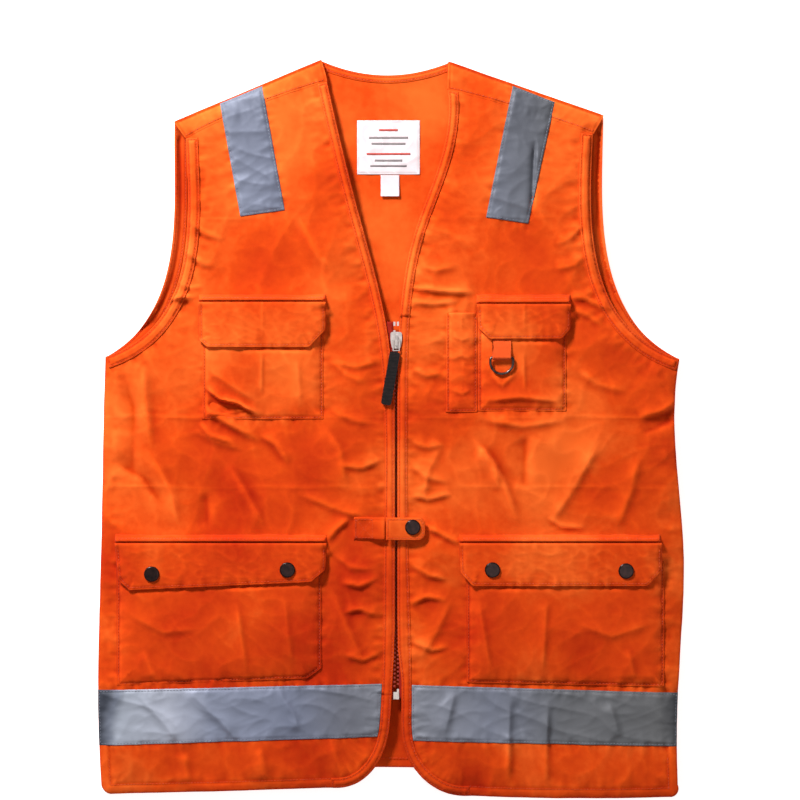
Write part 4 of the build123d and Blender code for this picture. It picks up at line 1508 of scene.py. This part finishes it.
def make_labels():
    loop = outline_of("main_label")

    def surface(p):
        z = back_level(p) + 0.75 + 0.35 * noise(p[:, 0], p[:, 1], 16, 801)
        return z + 0.3 * ridged(p[:, 0], p[:, 1] + 0.5 * p[:, 0], 14, 802)

    label = band("main_label_cloth", loop, surface, -0.6, LABEL, 1.4, 0.5, 0.1, 1.2)
    dress(label, "back", "main_label")
    low, high = loop.min(0), loop.max(0)
    rows = [(0.80, 0.30, LABEL_RED), (0.66, 0.62, LABEL_GREY), (0.55, 0.54, LABEL_GREY)]
    rows += [(0.36, 0.70, LABEL_RED), (0.24, 0.44, LABEL_GREY), (0.14, 0.58, LABEL_GREY)]
    for k, (place, width, material) in enumerate(rows):
        middle, half = (low[0] + high[0]) / 2, width * (high[0] - low[0]) / 2
        left, right = middle - half, middle + half
        y = low[1] + place * (high[1] - low[1])
        bar = np.array([(left, y), (right, y), (right, y + 2), (left, y + 2)])
        flat, triangles = fill(bar, 1.2)
        z = surface(flat)
        mark = shell(f"main_label_mark_{k}", flat, triangles, z + 0.06, z - 0.3, material)
        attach(mark, "back")

    loop = outline_of("size_tag")
    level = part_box("size_tag")[1].z / MM
    flat, triangles = fill(loop, 1.2, rings=(0.6,))
    down = (loop[:, 1].max() - flat[:, 1]) / np.ptp(loop[:, 1])
    z = level + 1.6 * down**2 + 0.1 * noise(flat[:, 0], flat[:, 1], 7, 811)
    tag = shell("size_tag_cloth", flat, triangles, z, z - 0.4, LABEL)
    dress(tag, "size_tag", "size_tag")


# ======================================================================================
# Zip and metal
# ======================================================================================
def make_zip_tape(half):
    name = f"zip_tape_{half}"
    loop = outline_of(name)
    low, high = [corner.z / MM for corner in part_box(name)]
    flat, triangles = fill(loop, 2.4)
    cover = FRONTS[half].level(flat) - PANEL_CLOTH - 0.15
    top = np.minimum(high - 0.1, cover)
    tape = shell(f"{name}_cloth", flat, triangles, top, top - (high - low) + 0.2, ZIP_TAPE)
    dress(tape, f"front_{half}", name)


def soften(name, material, width, segments=3):
    """Keeps a hard CAD part, with rounded edges and its own finish."""
    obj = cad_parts[name]
    obj.data.materials.clear()
    obj.data.materials.append(material)
    bevel = obj.modifiers.new("rounded edges", "BEVEL")
    bevel.width = width * MM
    bevel.segments = segments
    bevel.limit_method = "ANGLE"
    bevel.angle_limit = math.radians(40)
    for face in obj.data.polygons:
        face.use_smooth = True
    obj.modifiers.new("even shading", "WEIGHTED_NORMAL")


def make_hard_parts():
    soften("zip_slider", STEEL, 0.35)
    soften("zip_pull_link", STEEL, 0.3)
    soften("zip_puller", PULLER, 0.5)
    soften("zip_retainer_box", STEEL, 0.2, 2)
    soften("zip_insertion_pin", STEEL, 0.2, 2)
    soften("d_ring", RING, 0.1, 1)
    soften("waist_snap_cap", SNAP, 0.15, 2)
    soften("waist_snap_stud", SNAP, 0.1, 2)
    for half in SIDES:
        soften(f"zip_teeth_{half}", TEETH, 0.25, 2)
        soften(f"pocket_snap_caps_{half}", SNAP, 0.15, 2)
        soften(f"pocket_snap_studs_{half}", SNAP, 0.1, 2)


# ======================================================================================
# Stage, light and camera
# ======================================================================================
def make_stage():
    bpy.ops.mesh.primitive_plane_add(size=6, location=(0, 0, -0.0004))
    floor = bpy.context.object
    floor.name = "floor"
    material, nodes, links, shader = new_material("floor", 0.95)
    place = nodes.new("ShaderNodeTexCoord")
    grain = noise_node(nodes, links, place, 3.0, 2.0)
    ramp = colour_ramp(
        nodes, links, grain.outputs["Fac"], [(0.3, (0.93, 0.93, 0.93, 1)), (0.7, (0.95, 0.95, 0.95, 1))]
    )
    links.new(ramp.outputs["Color"], shader.inputs["Base Color"])
    shader.inputs["Emission Color"].default_value = (1, 1, 1, 1)
    shader.inputs["Emission Strength"].default_value = 0.75
    floor.data.materials.append(material)


def add_light(name, place, size, energy, target=(0, 0, 0)):
    data = bpy.data.lights.new(name, "AREA")
    data.shape = "DISK"
    data.size = size
    data.energy = energy
    light = bpy.data.objects.new(name, data)
    light.location = place
    way = Vector(target) - Vector(place)
    light.rotation_euler = way.to_track_quat("-Z", "Y").to_euler()
    bpy.context.scene.collection.objects.link(light)


def make_light():
    world = bpy.data.worlds.new("studio")
    bpy.context.scene.world = world
    world.use_nodes = True
    background = world.node_tree.nodes["Background"]
    background.inputs["Color"].default_value = (1.0, 1.0, 1.0, 1)
    background.inputs["Strength"].default_value = 0.2
    add_light("key", place=(-0.95, 1.5, 1.1), size=0.45, energy=62)
    add_light("fill", place=(0.5, -0.4, 2.6), size=1.6, energy=8)


VIEW_SHARE = 1.0825  # the view's height to the vest's
CAMERA_HEIGHT = 2.5
CAMERA_OVER = (0.0087, 0.0281)  # the point that the camera looks straight down on


def make_camera():
    """Straight down, framed as tall as the vest with a small border."""
    low, high = cad_bounds
    tall = high.y - low.y
    view = VIEW_SHARE * tall
    data = bpy.data.cameras.new("camera")
    data.sensor_width = 36
    data.lens = data.sensor_width * (CAMERA_HEIGHT - 0.5 * high.z) / view
    camera = bpy.data.objects.new("camera", data)
    camera.location = (*CAMERA_OVER, CAMERA_HEIGHT)
    camera.rotation_euler = (0, 0, 0)
    bpy.context.scene.collection.objects.link(camera)
    bpy.context.scene.camera = camera


make_stage()
make_back()
make_labels()
for side_name in SIDES:
    make_front(FRONTS[side_name])
    make_side_wall(FRONTS[side_name])
    make_zip_tape(side_name)
    make_strips(side_name)
    for kind in ("chest", "lower"):
        make_pocket(f"{kind}_pocket_{side_name}")
        make_flap(f"{kind}_flap_{side_name}")
        make_flap_seam(f"{kind}_flap_seam_{side_name}")
make_pocket("pen_pocket")
make_tab()
make_ring_loop()
make_hard_parts()
make_light()
make_camera()
bpy.context.scene.view_settings.view_transform = "Standard"
